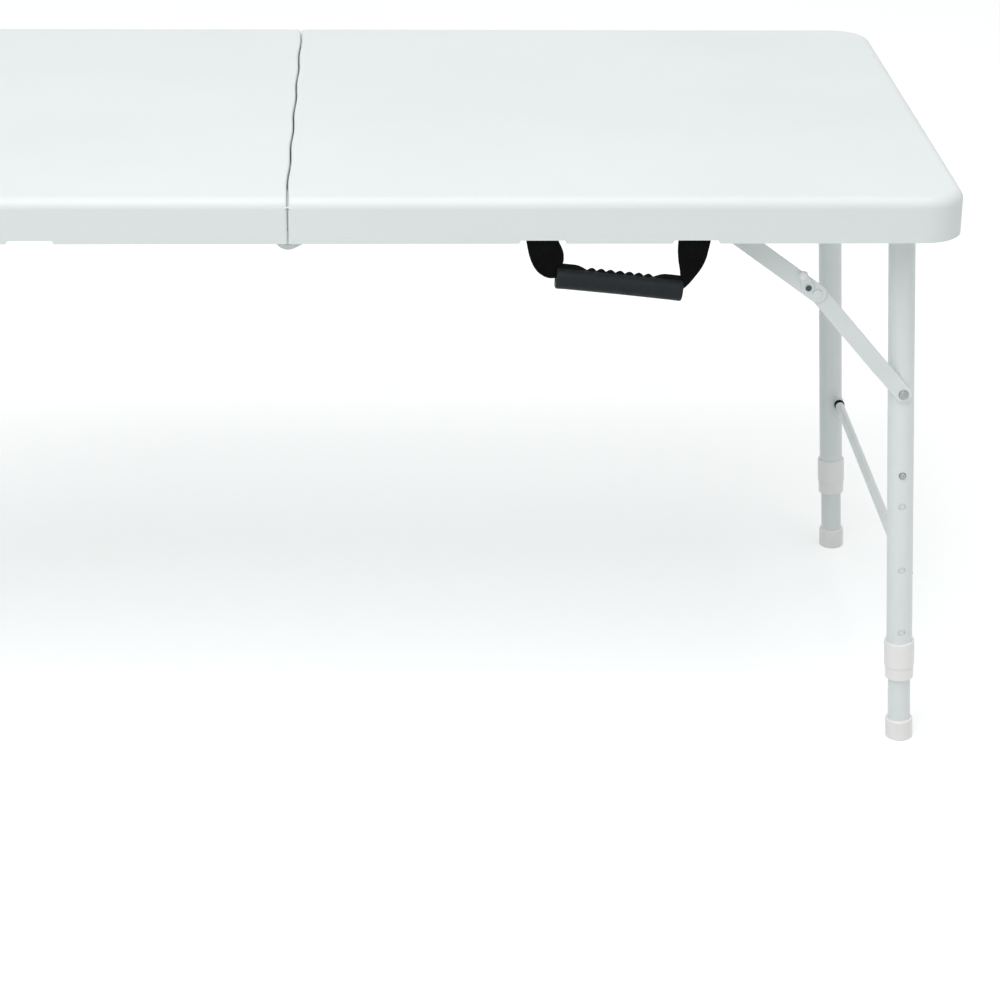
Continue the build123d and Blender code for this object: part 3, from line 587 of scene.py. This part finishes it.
def bead(
    name: str, path: Sequence[Vector], radii: Sequence[float], count: int = 8
) -> bpy.types.Mesh:
    """Runs a round bead along a closed path.

    Args:
        name: Name of the mesh.
        path: Points of the closed path, in millimetres.
        radii: Radius of the bead at each point.
        count: Number of segments round the bead.

    Returns:
        The new mesh.
    """
    total = len(path)
    middle = sum(path, Vector()) / total
    turns = [math.tau * j / count for j in range(count)]
    rows = []
    for k, (point, radius) in enumerate(zip(path, radii)):
        ahead = (path[(k + 1) % total] - path[k - 1]).normalized()
        out = (point - middle).normalized()
        out = (out - ahead * out.dot(ahead)).normalized()
        side = ahead.cross(out)
        rows.append([point + (out * math.cos(t) + side * math.sin(t)) * radius for t in turns])
    return mesh_from_rows(name, rows, ring=True)


def add_rounding(piece: Piece, width_mm: float, limit_deg: float) -> bpy.types.Modifier:
    """Rounds a piece's sharp edges in two steps.

    Args:
        piece: The piece.
        width_mm: Width of the rounding.
        limit_deg: Edges sharper than this are rounded.

    Returns:
        The modifier.
    """
    rounding = piece.modifiers.new("eased edges", "BEVEL")
    rounding.width = width_mm * MM
    rounding.segments = 2
    rounding.limit_method = "ANGLE"
    rounding.angle_limit = math.radians(limit_deg)
    return rounding


def apply_modifiers(piece: Piece) -> None:
    """Applies a piece's modifiers, so that the piece holds the final mesh.

    Args:
        piece: The piece.
    """
    bpy.context.view_layer.update()
    graph = bpy.context.evaluated_depsgraph_get()
    made = bpy.data.meshes.new_from_object(piece.evaluated_get(graph))
    piece.modifiers.clear()
    piece.data = made


def eased_copy(
    node: str,
    finish: Finish,
    ease_mm: float,
    limit_deg: float = CREASE_DEG,
    shape: Callable[[bmesh.types.BMesh], None] | None = None,
) -> Piece:
    """Makes a piece with a CAD node's shape whose sharp edges are rounded as made ones are.

    Args:
        node: Name of the CAD node, which the piece replaces.
        finish: Finish of the piece.
        ease_mm: Width of the rounding; 0 for none.
        limit_deg: Edges sharper than this are rounded.
        shape: Further shaping of the mesh before its edges are rounded.

    Returns:
        The piece.
    """
    source = frame["nodes"][node]
    mesh = source.data.copy()
    packed_normals = mesh.attributes.get("custom_normal")
    if packed_normals:
        mesh.attributes.remove(packed_normals)
    bm = bmesh.new()
    bm.from_mesh(mesh)
    bmesh.ops.remove_doubles(bm, verts=bm.verts, dist=WELD_MM * MM)
    bmesh.ops.dissolve_limit(bm, angle_limit=math.radians(FLAT_DEG), verts=bm.verts, edges=bm.edges)
    if shape:
        shape(bm)
    bm.to_mesh(mesh)
    bm.free()
    piece = new_piece(f"{node}_finished", mesh, finish)
    if ease_mm:
        add_rounding(piece, ease_mm, limit_deg).harden_normals = True
    body = source["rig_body"]
    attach(piece, body)
    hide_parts(node)
    LOG.info("made %s", piece.name)
    return piece


def box_mm(node: str) -> tuple[Vector, Vector]:
    """Returns the lowest and highest corner of a CAD node, in millimetres."""
    low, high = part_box(node)
    return Vector(low) / MM, Vector(high) / MM


def joint_mm(name: str) -> list[float]:
    """Returns where a joint's axis lies, in millimetres."""
    return [v / MM for v in next(j["pos_m"] for j in frame["joints"] if j["name"] == name)]


def dome(radius: float, height: float, steps: int = 6) -> list[Pair]:
    """Returns the profile of a shallow rivet dome, from its rim to its top.

    Args:
        radius: Radius of its rim, in millimetres.
        height: Height of its top, in millimetres.
        steps: Number of steps from rim to top.

    Returns:
        Radius and height of each point, closed at the base.
    """
    turns = [math.pi / 2 * k / steps for k in range(steps)]
    arc = [(radius * math.cos(t), height * math.sin(t)) for t in turns]
    # a hole a hair wide runs through the middle, which keeps all faces four-sided
    tip = radius * 0.02
    return [(tip, 0.0), *arc, (tip, height)]


def ride_as(piece: Piece, body: str) -> None:
    """Puts a new piece on its body."""
    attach(piece, body)


def domed_head(
    name: str, at: Vector, axis: Vector, size: Pair, finish: Finish
) -> Piece:
    """Makes a rivet's head or a button: a shallow dome on a flat base.

    Args:
        name: Name of the piece.
        at: Middle of its base, in millimetres.
        axis: Direction that it points.
        size: Its radius and height, in millimetres.
        finish: Its finish.

    Returns:
        The new piece.
    """
    piece = new_piece(name, turned(name, at, axis, dome(*size), HEAD_SEGMENTS), finish)
    piece.data.set_sharp_from_angle(angle=math.radians(SHARP_DEG))
    return piece


@dataclass
class MouldedTop:
    """Both blow-moulded halves of the top, in millimetres."""

    seam_round: float = 2.4
    seam_round_steps: int = 4
    # the seam's walls lie within this of the middle of the table
    seam_reach: float = 2.2
    # a face is wall, or underside, where its normal leans this far along X, or along Z
    wall_lean: float = 0.7
    underside_lean: float = -0.5
    # below this height each wall bulges towards the other half, as hollow mouldings do
    foot_z: float = 571.0
    foot_bulge: float = 0.55
    # beyond this the wall's foot is the outer edge of the skirt, which bulges less
    skirt_y: float = 302.0
    skirt_bulge: float = 0.2

    def build(self) -> None:
        """Builds both halves with the rounded seam that blow moulding leaves."""
        for half in Half:
            made = eased_copy(
                f"top_{half.value}",
                BlowMouldedPolyethylene(),
                ease_mm=0.0,
                shape=lambda bm, h=half: self._ease_seam(bm, h),
            )
            made.modifiers.new("even shading", "WEIGHTED_NORMAL").keep_sharp = True

    def _ease_seam(self, bm: bmesh.types.BMesh, half: Half) -> None:
        """Bulges the seam's wall, rounds its visible edges widely and marks all creases.

        Args:
            bm: Mesh of one half, in metres.
            half: Half of the table.
        """
        wall = {v for v in bm.verts if abs(v.co.x) < self.seam_reach * MM}
        for vert in wall:
            if vert.co.z < self.foot_z * MM:
                on_skirt = abs(vert.co.y) > self.skirt_y * MM
                bulge = self.skirt_bulge if on_skirt else self.foot_bulge
                vert.co.x -= half.sign * bulge * MM
        edges = [
            edge
            for edge in bm.edges
            if wall.issuperset(edge.verts)
            and edge.is_manifold
            and sum(abs(face.normal.x) > self.wall_lean for face in edge.link_faces) == 1
            and all(face.normal.z >= self.underside_lean for face in edge.link_faces)
        ]
        bmesh.ops.bevel(
            bm,
            geom=edges,
            offset=self.seam_round * MM,
            offset_type="OFFSET",
            segments=self.seam_round_steps,
            profile=0.5,
            affect="EDGES",
            clamp_overlap=False,
        )
        bm.normal_update()
        for edge in bm.edges:
            if edge.is_manifold and edge.calc_face_angle(0.0) > math.radians(CREASE_DEG):
                edge.smooth = False


@dataclass
class RailsAndHinge:
    """The rails, hinge leaves, pins, rivets, screws and stay brackets."""

    sheet_ease_mm: float = 0.5
    head_ease_mm: float = 0.4

    def build(self) -> None:
        """Builds the pressed steel pieces and their fixings."""
        for half in Half:
            for kind in ("rail_front", "rail_back", "hinge_leaves", "stay_brackets"):
                eased_copy(f"{kind}_{half.value}", STEEL, self.sheet_ease_mm)
            for kind in ("rivets", "rail_screws"):
                eased_copy(f"{kind}_{half.value}", ZINC, self.head_ease_mm)
        eased_copy("hinge_pins", ZINC, self.head_ease_mm)


@dataclass
class LegFrames:
    """Both folding leg frames, their collars, welds and brace-bar ferrules, in millimetres."""

    spread: float = 231.0
    splay_deg: float = 3.5
    tube_radius: float = 12.5
    pivot_tube_radius: float = 9.5
    brace_radius: float = 4.8
    bead_radius: float = 1.2
    bead_steps: int = 40
    # the bead gets thicker and thinner by this share, at this beat from step to step
    bead_waver: float = 0.25
    bead_beat: float = 2.4
    ferrule_radius: float = 5.7
    ferrule_length: float = 6.5
    ferrule_play: float = 0.1
    # radius and height of the stay rivet's head, and of its tail behind the tube
    rivet_head: Pair = (4.7, 1.75)
    rivet_tail: Pair = (4.0, 1.6)
    # the head's base lies this far inside the pin's end
    head_seat: float = 1.6
    tube_ease: float = 0.3
    pin_ease: float = 0.4
    collar_ease: float = 0.5

    def build(self) -> None:
        """Builds the tubes, collars and pins of both frames, their welds and ferrules."""
        for half in Half:
            for edge in Edge:
                corner = Corner(half, edge)
                eased_copy(f"leg_tube_{corner}", STEEL, self.tube_ease)
                self._welds(corner)
                self._ferrule(corner)
                self._stay_rivet(corner)
            side = half.value
            eased_copy(f"pivot_tube_{side}", STEEL, self.pin_ease)
            eased_copy(f"brace_bar_{side}", STEEL, self.tube_ease)
            eased_copy(f"leg_collars_{side}", WHITE_PLASTIC, self.collar_ease, MOULDED_CREASE_DEG)
            eased_copy(f"stay_pins_{side}", ZINC, self.pin_ease)

    def _brace_centre(self, half: Half) -> Vector:
        """Returns the middle of the brace bar."""
        low, high = box_mm(f"brace_bar_{half.value}")
        return (low + high) / 2

    def _welds(self, corner: Corner) -> None:
        """Runs a weld bead where each cross tube meets a leg, on the side towards the middle.

        Args:
            corner: Corner of the table.
        """
        half, edge = corner.half, corner.edge
        brace = self._brace_centre(half)
        pivot_x, _, pivot_z = joint_mm("leg_fold_right")
        slope = math.tan(math.radians(self.splay_deg))
        for name, x0, z0, radius in (
            ("pivot_weld", pivot_x, pivot_z, self.pivot_tube_radius),
            ("brace_weld", abs(brace.x), brace.z, self.brace_radius),
        ):
            path = []
            for k in range(self.bead_steps):
                turn = math.tau * k / self.bead_steps
                x, z = x0 + radius * math.cos(turn), z0 + radius * math.sin(turn)
                off_axis = x - (pivot_x + (pivot_z - z) * slope)
                depth = math.sqrt(max(self.tube_radius**2 - off_axis**2, 0.0))
                path.append(Vector((half.sign * x, edge.sign * (self.spread - depth), z)))
            start = 2 * half.sign + edge.sign
            thickness = [
                self.bead_radius * (1 + self.bead_waver * math.sin(k * self.bead_beat + start))
                for k in range(self.bead_steps)
            ]
            piece = new_piece(f"{name}_{corner}", bead(name, path, thickness), STEEL)
            ride_as(piece, f"leg_frame_{half.value}")

    def _ferrule(self, corner: Corner) -> None:
        """Puts a black moulded ferrule over the brace bar where it meets a leg.

        Args:
            corner: Corner of the table.
        """
        start = self._brace_centre(corner.half)
        start.y = corner.edge.sign * (self.spread - self.tube_radius - self.bead_radius)
        inner, outer = self.brace_radius + self.ferrule_play, self.ferrule_radius
        length = self.ferrule_length
        # a rounded seat, a straight stretch and a taper
        profile = [
            (inner, 0.0),
            (outer - 0.5, 0.0),
            (outer, 0.5),
            (outer, length * 0.45),
            (outer - 0.6, length - 0.4),
            (outer - 1.0, length),
            (inner, length),
        ]
        mesh = turned("brace_ferrule", start, -corner.outward, profile)
        piece = new_piece(f"brace_ferrule_{corner}", mesh, DEEP_BLACK)
        piece.data.set_sharp_from_angle(angle=math.radians(SHARP_DEG))
        ride_as(piece, f"leg_frame_{corner.half.value}")

    def _stay_rivet(self, corner: Corner) -> None:
        """Rounds the head of the rivet that holds the stay, and adds its tail behind the tube.

        Args:
            corner: Corner of the table.
        """
        low, high = box_mm(f"stay_pins_{corner.half.value}")
        middle = (low + high) / 2
        for name, y, axis, size in (
            ("stay_rivet_head", high.y - self.head_seat, corner.outward, self.rivet_head),
            ("stay_rivet_tail", self.spread - self.tube_radius, -corner.outward, self.rivet_tail),
        ):
            at = Vector((middle.x, corner.edge.sign * y, middle.z))
            piece = domed_head(f"{name}_{corner}", at, axis, size, ZINC)
            ride_as(piece, f"leg_frame_{corner.half.value}")


@dataclass
class InnerLegs:
    """The four sliding inner legs, their feet, buttons and springs, in millimetres."""

    tube_ease: float = 0.3
    foot_ease: float = 0.6
    button_ease: float = 0.3
    spring_ease: float = 0.15

    def build(self) -> None:
        """Builds each inner leg's tube, foot, button and spring."""
        for corner in CORNERS:
            eased_copy(f"inner_leg_{corner}", STEEL, self.tube_ease)
            eased_copy(f"foot_{corner}", WHITE_PLASTIC, self.foot_ease, MOULDED_CREASE_DEG)
            eased_copy(f"snap_button_{corner}", ZINC, self.button_ease)
            eased_copy(f"snap_spring_{corner}", ZINC, self.spring_ease)


@dataclass
class FoldingStays:
    """The four folding stays: upper link, lower link and latch with its nub, in millimetres."""

    nub_radius: float = 3.8
    # radius and height of the cap over the nub, and of the latch's rivet
    nub_cap: Pair = (4.3, 2.6)
    rivet_head: Pair = (2.9, 0.9)
    link_ease: float = 0.5
    latch_ease: float = 0.4

    def build(self) -> None:
        """Builds each stay's pressed links, its latch, the nub's cap and the latch's rivet."""
        for corner in CORNERS:
            eased_copy(f"stay_upper_{corner}", STEEL, self.link_ease)
            eased_copy(f"stay_lower_{corner}", STEEL, self.link_ease)
            eased_copy(f"stay_latch_{corner}", STEEL, self.latch_ease)
            self._nub(corner)
            self._latch_rivet(corner)

    def _nub(self, corner: Corner) -> None:
        """Caps the latch's finger nub with a rounded white button.

        Args:
            corner: Corner of the table.
        """
        latch = f"stay_latch_{corner}"
        low, high = box_mm(latch)
        inner_x = low.x if corner.half is Half.RIGHT else high.x
        at = Vector(
            (
                inner_x + corner.half.sign * self.nub_radius,
                corner.outer_y(latch) - corner.edge.sign * self.nub_cap[1] / 2,
                high.z - self.nub_radius,
            )
        )
        piece = domed_head(f"latch_nub_{corner}", at, corner.outward, self.nub_cap, WHITE_PLASTIC)
        ride_as(piece, latch)

    def _latch_rivet(self, corner: Corner) -> None:
        """Rounds the head of the small bare rivet that the latch turns on; its dark colour is
        painted shade for the dark hole at the latch pin.

        Args:
            corner: Corner of the table.
        """
        link = f"stay_upper_{corner}"
        x, _, z = joint_mm(f"latch_{corner}")
        at = Vector((x, corner.outer_y(link), z))
        name = f"latch_rivet_{corner}"
        piece = domed_head(name, at, corner.outward, self.rivet_head, ZINC_PAINTED_HOLE_SHADE)
        ride_as(piece, link)


@dataclass(frozen=True)
class Band:
    """What sets the handle's two bands of webbing apart, in millimetres."""

    side: int
    # how far it hangs below the straight line to the grip's end
    sag: float
    # how far its inner edge bulges inwards above the grip
    bulge: float
    # how far inside the grip's end its inner edge meets it
    inset: float

    def step(self, out: float, up: float) -> Vector:
        """Returns a step away from the handle's middle and up."""
        return Vector((self.side * out, 0, up))


@dataclass
class CarryHandle:
    """The webbing handle with its grip, and its clamps in the front rim, in millimetres."""

    bands: tuple[Band, Band] = (Band(-1, 4.8, 5.0, 5.2), Band(1, -15.0, 1.2, 1.6))
    strap_spread: float = 137.5
    strap_width: float = 29.0
    thickness: float = 2.2
    selvedge_round: float = 0.5
    selvedge_deg: float = 50.0
    tuck: float = 19.0
    tuck_steps: int = 8
    band_steps: int = 34
    across_steps: int = 12
    # where each edge of a band heads from the rim, outwards and up
    inner_lead: Pair = (-1.5, -8.0)
    outer_lead: Pair = (-2.5, -19.0)
    # how far above and outside the grip the two edges come in
    inner_rise: float = 10.0
    outer_swing: float = 16.0
    outer_inset: float = 1.0
    # the inner edge ends this far under the ridge's top
    ridge_overlap: float = 2.5
    # how deep each band cups and ripples once it is clear of the rim
    cup: float = 4.2
    cup_pace: float = 1.15
    ripple: float = 1.0
    clear_pace: float = 4.0
    rim_z: float = 538.0
    drop: float = 42.8
    grip_shift: float = 1.5
    grip_length: float = 115.5
    grip_radius: float = 9.9
    grip_waist: float = 0.5
    # how far inside the barrel's radius, and inside its end, its rounded end runs
    grip_end: tuple[Pair, ...] = ((4.0, 0.0), (1.6, 0.0), (0.4, 0.6), (0.0, 2.0), (0.25, 9.0))
    tilt_deg: float = 6.2
    teeth: int = 7
    tooth_pitch: float = 8.6
    tooth_height: float = 2.5
    ridge_height: float = 3.9
    ridge_half_width: float = 2.7
    ridge_end: float = 1.0
    # the ridge stands behind the grip's crest, with its root inside the barrel
    ridge_back: float = 2.0
    ridge_base: float = -0.5
    ridge_root: float = 4.0
    # shares of its shoulders' length where they have risen and start to fall
    shoulder_rise: float = 0.45
    shoulder_fall: float = 0.9
    end_drop: float = 1.2
    # 1 would be a half round, and less is blunter
    ridge_bluntness: float = 0.55
    ridge_steps: int = 220
    ridge_across: int = 12
    clamp_ease: float = 0.4

    def build(self) -> None:
        """Builds the webbing, the grip and the clamps."""
        self._webbing()
        self._grip()
        eased_copy("strap_plates", ZINC, self.clamp_ease)
        eased_copy("strap_screws", ZINC, self.clamp_ease)

    @cached_property
    def anchor(self) -> Vector:
        """The point midway between the two bands where they leave the rim."""
        low, high = box_mm("handle_strap")
        middle = (low + high) / 2
        return Vector((middle.x, middle.y, self.rim_z))

    @cached_property
    def along(self) -> Vector:
        """Direction of the grip, from its left end to its right."""
        tilt = math.radians(-self.tilt_deg)
        return Vector((math.cos(tilt), 0, math.sin(tilt)))

    @cached_property
    def centre(self) -> Vector:
        """Middle of the grip."""
        return self.anchor + Vector((self.grip_shift, 0, -self.drop))

    def _band_edges(self, band: Band, t: float) -> list[Vector]:
        """Finds a band's edges at one place along it.

        Args:
            band: The band.
            t: The place, from the rim at 0 to the grip at 1.

        Returns:
            Its inner and outer edge.
        """
        step = band.step
        start = self.anchor + step(self.strap_spread / 2, 0)
        wide = step(self.strap_width / 2, 0)
        end = self.centre + self.along * (band.side * self.grip_length / 2)
        crest = end + step(-band.inset, self.grip_radius + self.ridge_height - self.ridge_overlap)
        inner = [
            start - wide,
            start - wide + step(*self.inner_lead),
            crest + step(-band.bulge, self.inner_rise),
            crest,
        ]
        outer = [
            start + wide,
            start + wide + step(*self.outer_lead),
            end + step(self.outer_swing, -band.sag),
            end + step(-self.outer_inset, 0),
        ]
        weights = ((1 - t) ** 3, 3 * t * (1 - t) ** 2, 3 * t * t * (1 - t), t**3)
        return [sum((p * w for p, w in zip(edge, weights)), Vector()) for edge in (inner, outer)]

    def _band_row(self, band: Band, t: float, inner: Vector, outer: Vector) -> list[Vector]:
        """Cups and ripples a band between its edges as stiff webbing hangs.

        Args:
            band: The band.
            t: Place along it, from the rim at 0 to the grip at 1.
            inner: Its inner edge there.
            outer: Its outer edge there.

        Returns:
            The points across it.
        """
        cup = self.cup * math.sin(math.pi * min(t * self.cup_pace, 1.0)) ** 2
        clear = min(t * self.clear_pace, 1)
        row = []
        for j in range(self.across_steps + 1):
            u = j / self.across_steps
            ripple = self.ripple * noise.noise(Vector((u * 2.0, t * 3.0, band.side)))
            point = inner.lerp(outer, u)
            point.y = self.anchor.y + (cup * (1 - (2 * u - 1) ** 2) + ripple) * clear - cup / 2
            row.append(point)
        return row

    def _add_band(self, bm: bmesh.types.BMesh, weave: bmesh.types.BMLayerItem, band: Band) -> None:
        """Adds one band's faces, with coordinates that keep the weave at its real size.

        Args:
            bm: Mesh of the webbing, in metres.
            weave: Its layer of coordinates across and along the band.
            band: The band.
        """
        rows, lengths = [], []
        distance = -self.tuck
        last = None
        for k in range(-self.tuck_steps, self.band_steps + 1):
            t = max(k, 0) / self.band_steps
            inner, outer = self._band_edges(band, t)
            if k < 0:
                lift = Vector((0, 0, self.tuck * -k / self.tuck_steps))
                inner, outer = inner + lift, outer + lift
            centre = (inner + outer) / 2
            if last is not None:
                distance += (centre - last).length
            last = centre
            rows.append([bm.verts.new(p * MM) for p in self._band_row(band, t, inner, outer)])
            lengths.append(distance)
        for i in range(len(rows) - 1):
            for j in range(self.across_steps):
                places = ((i, j), (i, j + 1), (i + 1, j + 1), (i + 1, j))
                face = bm.faces.new([rows[a][b] for a, b in places])
                for loop, (a, b) in zip(face.loops, places):
                    u = b / self.across_steps * self.strap_width
                    loop[weave].uv = (u * MM, lengths[a] * MM)

    def _webbing(self) -> None:
        """Makes both bands of webbing as one piece, tucked up into the rim."""
        bm = bmesh.new()
        weave = bm.loops.layers.uv.new("band")
        for band in self.bands:
            self._add_band(bm, weave, band)
        bmesh.ops.recalc_face_normals(bm, faces=bm.faces)
        mesh = bpy.data.meshes.new("handle_webbing")
        bm.to_mesh(mesh)
        bm.free()
        piece = new_piece("handle_webbing", mesh, WovenWebbing())
        body = piece.modifiers.new("thickness", "SOLIDIFY")
        body.thickness = self.thickness * MM
        body.offset = 0.0
        add_rounding(piece, self.selvedge_round, self.selvedge_deg)
        apply_modifiers(piece)
        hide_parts("handle_strap", "strap_ends")
        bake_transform(piece)

    def _grip(self) -> None:
        """Makes the grip's barrel and the toothed ridge along its top."""
        half, radius = self.grip_length / 2, self.grip_radius
        profile = [(radius - cut, -half + inwards) for cut, inwards in self.grip_end]
        profile.append((radius - self.grip_waist, 0.0))
        profile += [(radius - cut, half - inwards) for cut, inwards in reversed(self.grip_end)]
        mesh = turned("handle_barrel", self.centre, self.along, profile, 64)
        barrel = new_piece("handle_barrel", mesh, MouldedBlackPolymer())
        ride_as(barrel, "handle")
        ridge = new_piece("handle_ridge", self._ridge_mesh(), DEEP_BLACK)
        ridge.data.set_sharp_from_angle(angle=math.radians(SHARP_DEG))
        ride_as(ridge, "handle")
        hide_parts("handle_grip")

    def _ridge_height(self, s: float) -> float:
        """Finds how high the ridge is.

        Args:
            s: Distance along the grip from its middle.

        Returns:
            Height over the barrel's axis.
        """
        half_teeth = self.teeth * self.tooth_pitch / 2
        end = self.grip_length / 2 - self.ridge_end
        base = self.grip_radius + self.ridge_base
        if abs(s) <= half_teeth:
            wave = 0.5 - 0.5 * math.cos(math.tau * (s + half_teeth) / self.tooth_pitch)
            return base + self.tooth_height * math.sqrt(wave)
        share = (abs(s) - half_teeth) / (end - half_teeth)
        rise = math.sin(min(share / self.shoulder_rise, 1.0) * math.pi / 2)
        past = max(share - self.shoulder_fall, 0.0) / (1 - self.shoulder_fall)
        fall = max(0.0, 1 - past**2)
        return base + self.ridge_height * rise * fall - self.end_drop * (1 - fall)

    def _ridge_mesh(self) -> bpy.types.Mesh:
        """Skins the ridge: rounded shoulders at both ends and finger teeth between.

        Returns:
            The new mesh.
        """
        up = Vector((-self.along.z, 0, self.along.x))
        deep = Vector((0, 1, 0))
        end = self.grip_length / 2 - self.ridge_end
        root = self.grip_radius - self.ridge_root
        rows = []
        for k in range(self.ridge_steps + 1):
            s = -end + 2 * end * k / self.ridge_steps
            top = self._ridge_height(s)
            row = []
            for j in range(self.ridge_across + 1):
                turn = math.pi * j / self.ridge_across
                y = self.ridge_back + self.ridge_half_width * math.cos(turn)
                lift = max(math.sin(turn), 0.0) ** self.ridge_bluntness
                middle = self.centre + self.along * s + deep * y
                row.append(middle + up * (root + (top - root) * lift))
            rows.append(row)
        return mesh_from_rows("handle_ridge", rows, ring=False)


@dataclass(frozen=True)
class Lamp:
    """A soft square lamp that faces the table, in metres and watts."""

    name: str
    at: tuple[float, float, float]
    size: float
    power: float

    def hang(self, aim: Vector) -> None:
        """Hangs the lamp.

        Args:
            aim: Point that it faces, in metres.
        """
        data = bpy.data.lights.new(self.name, "AREA")
        data.shape = "SQUARE"
        data.size = self.size
        data.energy = self.power
        data.color = linear(WHITE)[:3]
        lamp = bpy.data.objects.new(self.name, data)
        lamp.location = self.at
        lamp.rotation_euler = (aim - Vector(self.at)).to_track_quat("-Z", "Y").to_euler()
        bpy.context.scene.collection.objects.link(lamp)


@dataclass
class Studio:
    """A pale floor, plain soft light and the camera."""

    lamps: tuple[Lamp, ...] = (
        Lamp("key", (-0.8, -2.2, 3.0), 2.4, 45.0),
        Lamp("overhead", (0.2, -0.5, 3.6), 2.4, 30.0),
    )
    aim: tuple[float, float, float] = (0.1, 0.0, 0.45)
    # the surround is white to the eye and weaker as a light
    surround_light: float = 0.55
    floor_half_width: float = 14.0
    floor_colour: str = "#EDEFEF"
    floor_roughness: float = 0.6
    # what the eye sees on top of the floor's own light, and the table does not get
    floor_glow: float = 0.36
    camera_at_mm: tuple[float, float, float] = (80.0, -2761.0, 1355.0)
    yaw_deg: float = 2.62
    pitch_deg: float = 23.44
    roll_deg: float = 0.76
    lens_mm: float = 104.18
    sensor_mm: float = 36.0
    clip_end: float = 60.0

    def build(self) -> None:
        """Builds the floor, the light and the camera."""
        bpy.context.scene.view_settings.view_transform = "Standard"
        self._floor()
        self._world()
        for lamp in self.lamps:
            lamp.hang(Vector(self.aim))
        self._camera()

    def _floor(self) -> None:
        """Lays a wide pale floor that keeps the table's soft shadow."""
        mesh = bpy.data.meshes.new("studio_floor")
        far = self.floor_half_width
        corners = [(-far, -far, 0), (far, -far, 0), (far, far, 0), (-far, far, 0)]
        mesh.from_pydata(corners, [], [(0, 1, 2, 3)])
        floor = bpy.data.objects.new("studio_floor", mesh)
        bpy.context.scene.collection.objects.link(floor)
        material = bpy.data.materials.new("matt_white_studio_paint")
        material.use_nodes = True
        tree = material.node_tree
        tree.nodes.clear()
        paint = add_node(
            tree,
            "ShaderNodeBsdfDiffuse",
            {"Color": linear(self.floor_colour), "Roughness": self.floor_roughness},
        )
        lift = add_node(
            tree,
            "ShaderNodeMath",
            {"operation": "MULTIPLY", 1: self.floor_glow},
            {0: self._seen(tree)},
        )
        glow = add_node(
            tree, "ShaderNodeEmission", {"Color": linear(WHITE)}, {"Strength": lift.outputs[0]}
        )
        both = add_node(tree, "ShaderNodeAddShader", {}, {0: paint.outputs[0], 1: glow.outputs[0]})
        add_node(tree, "ShaderNodeOutputMaterial", {}, {"Surface": both.outputs[0]})
        mesh.materials.append(material)

    def _seen(self, tree: Tree) -> Socket:
        """Tells what the eye sees from what lights the table.

        Args:
            tree: Node tree that gets the nodes.

        Returns:
            1 for camera, glossy and transmission rays, and 0 for the rest.
        """
        path = add_node(tree, "ShaderNodeLightPath")
        seen = path.outputs["Is Camera Ray"]
        for kind in ("Is Glossy Ray", "Is Transmission Ray"):
            links = {0: seen, 1: path.outputs[kind]}
            seen = add_node(tree, "ShaderNodeMath", {"operation": "MAXIMUM"}, links).outputs[0]
        return seen

    def _world(self) -> None:
        """Gives an even pale surround."""
        world = bpy.data.worlds.new("white_surround")
        bpy.context.scene.world = world
        world.use_nodes = True
        tree = world.node_tree
        tree.nodes.clear()
        strength = add_node(
            tree,
            "ShaderNodeMapRange",
            {"To Min": self.surround_light, "To Max": 1.0},
            {"Value": self._seen(tree)},
        )
        back = add_node(
            tree,
            "ShaderNodeBackground",
            {"Color": linear(WHITE)},
            {"Strength": strength.outputs[0]},
        )
        add_node(tree, "ShaderNodeOutputWorld", {}, {"Surface": back.outputs[0]})

    def _camera(self) -> None:
        """Sets the camera at its fitted place, direction and lens."""
        yaw, pitch, roll = [math.radians(v) for v in (self.yaw_deg, self.pitch_deg, self.roll_deg)]
        flat = math.cos(pitch)
        ahead = Vector((math.sin(yaw) * flat, math.cos(yaw) * flat, -math.sin(pitch)))
        level = Vector((math.cos(yaw), -math.sin(yaw), 0))
        up = level.cross(ahead)
        right = level * math.cos(roll) + up * math.sin(roll)
        top = -level * math.sin(roll) + up * math.cos(roll)
        data = bpy.data.cameras.new("camera")
        data.lens = self.lens_mm
        data.sensor_width = self.sensor_mm
        data.clip_end = self.clip_end
        camera = bpy.data.objects.new("camera", data)
        turn = Matrix((right, top, -ahead)).transposed().to_4x4()
        camera.matrix_world = Matrix.Translation(Vector(self.camera_at_mm) * MM) @ turn
        bpy.context.scene.collection.objects.link(camera)
        bpy.context.scene.camera = camera


def main() -> None:
    """Builds every sub-assembly in order, then the studio."""
    logging.basicConfig(level=logging.INFO)
    for part in (
        MouldedTop(),
        RailsAndHinge(),
        LegFrames(),
        InnerLegs(),
        FoldingStays(),
        CarryHandle(),
        Studio(),
    ):
        part.build()
        LOG.info("finished %s", type(part).__name__)


if __name__ == "__main__":
    main()
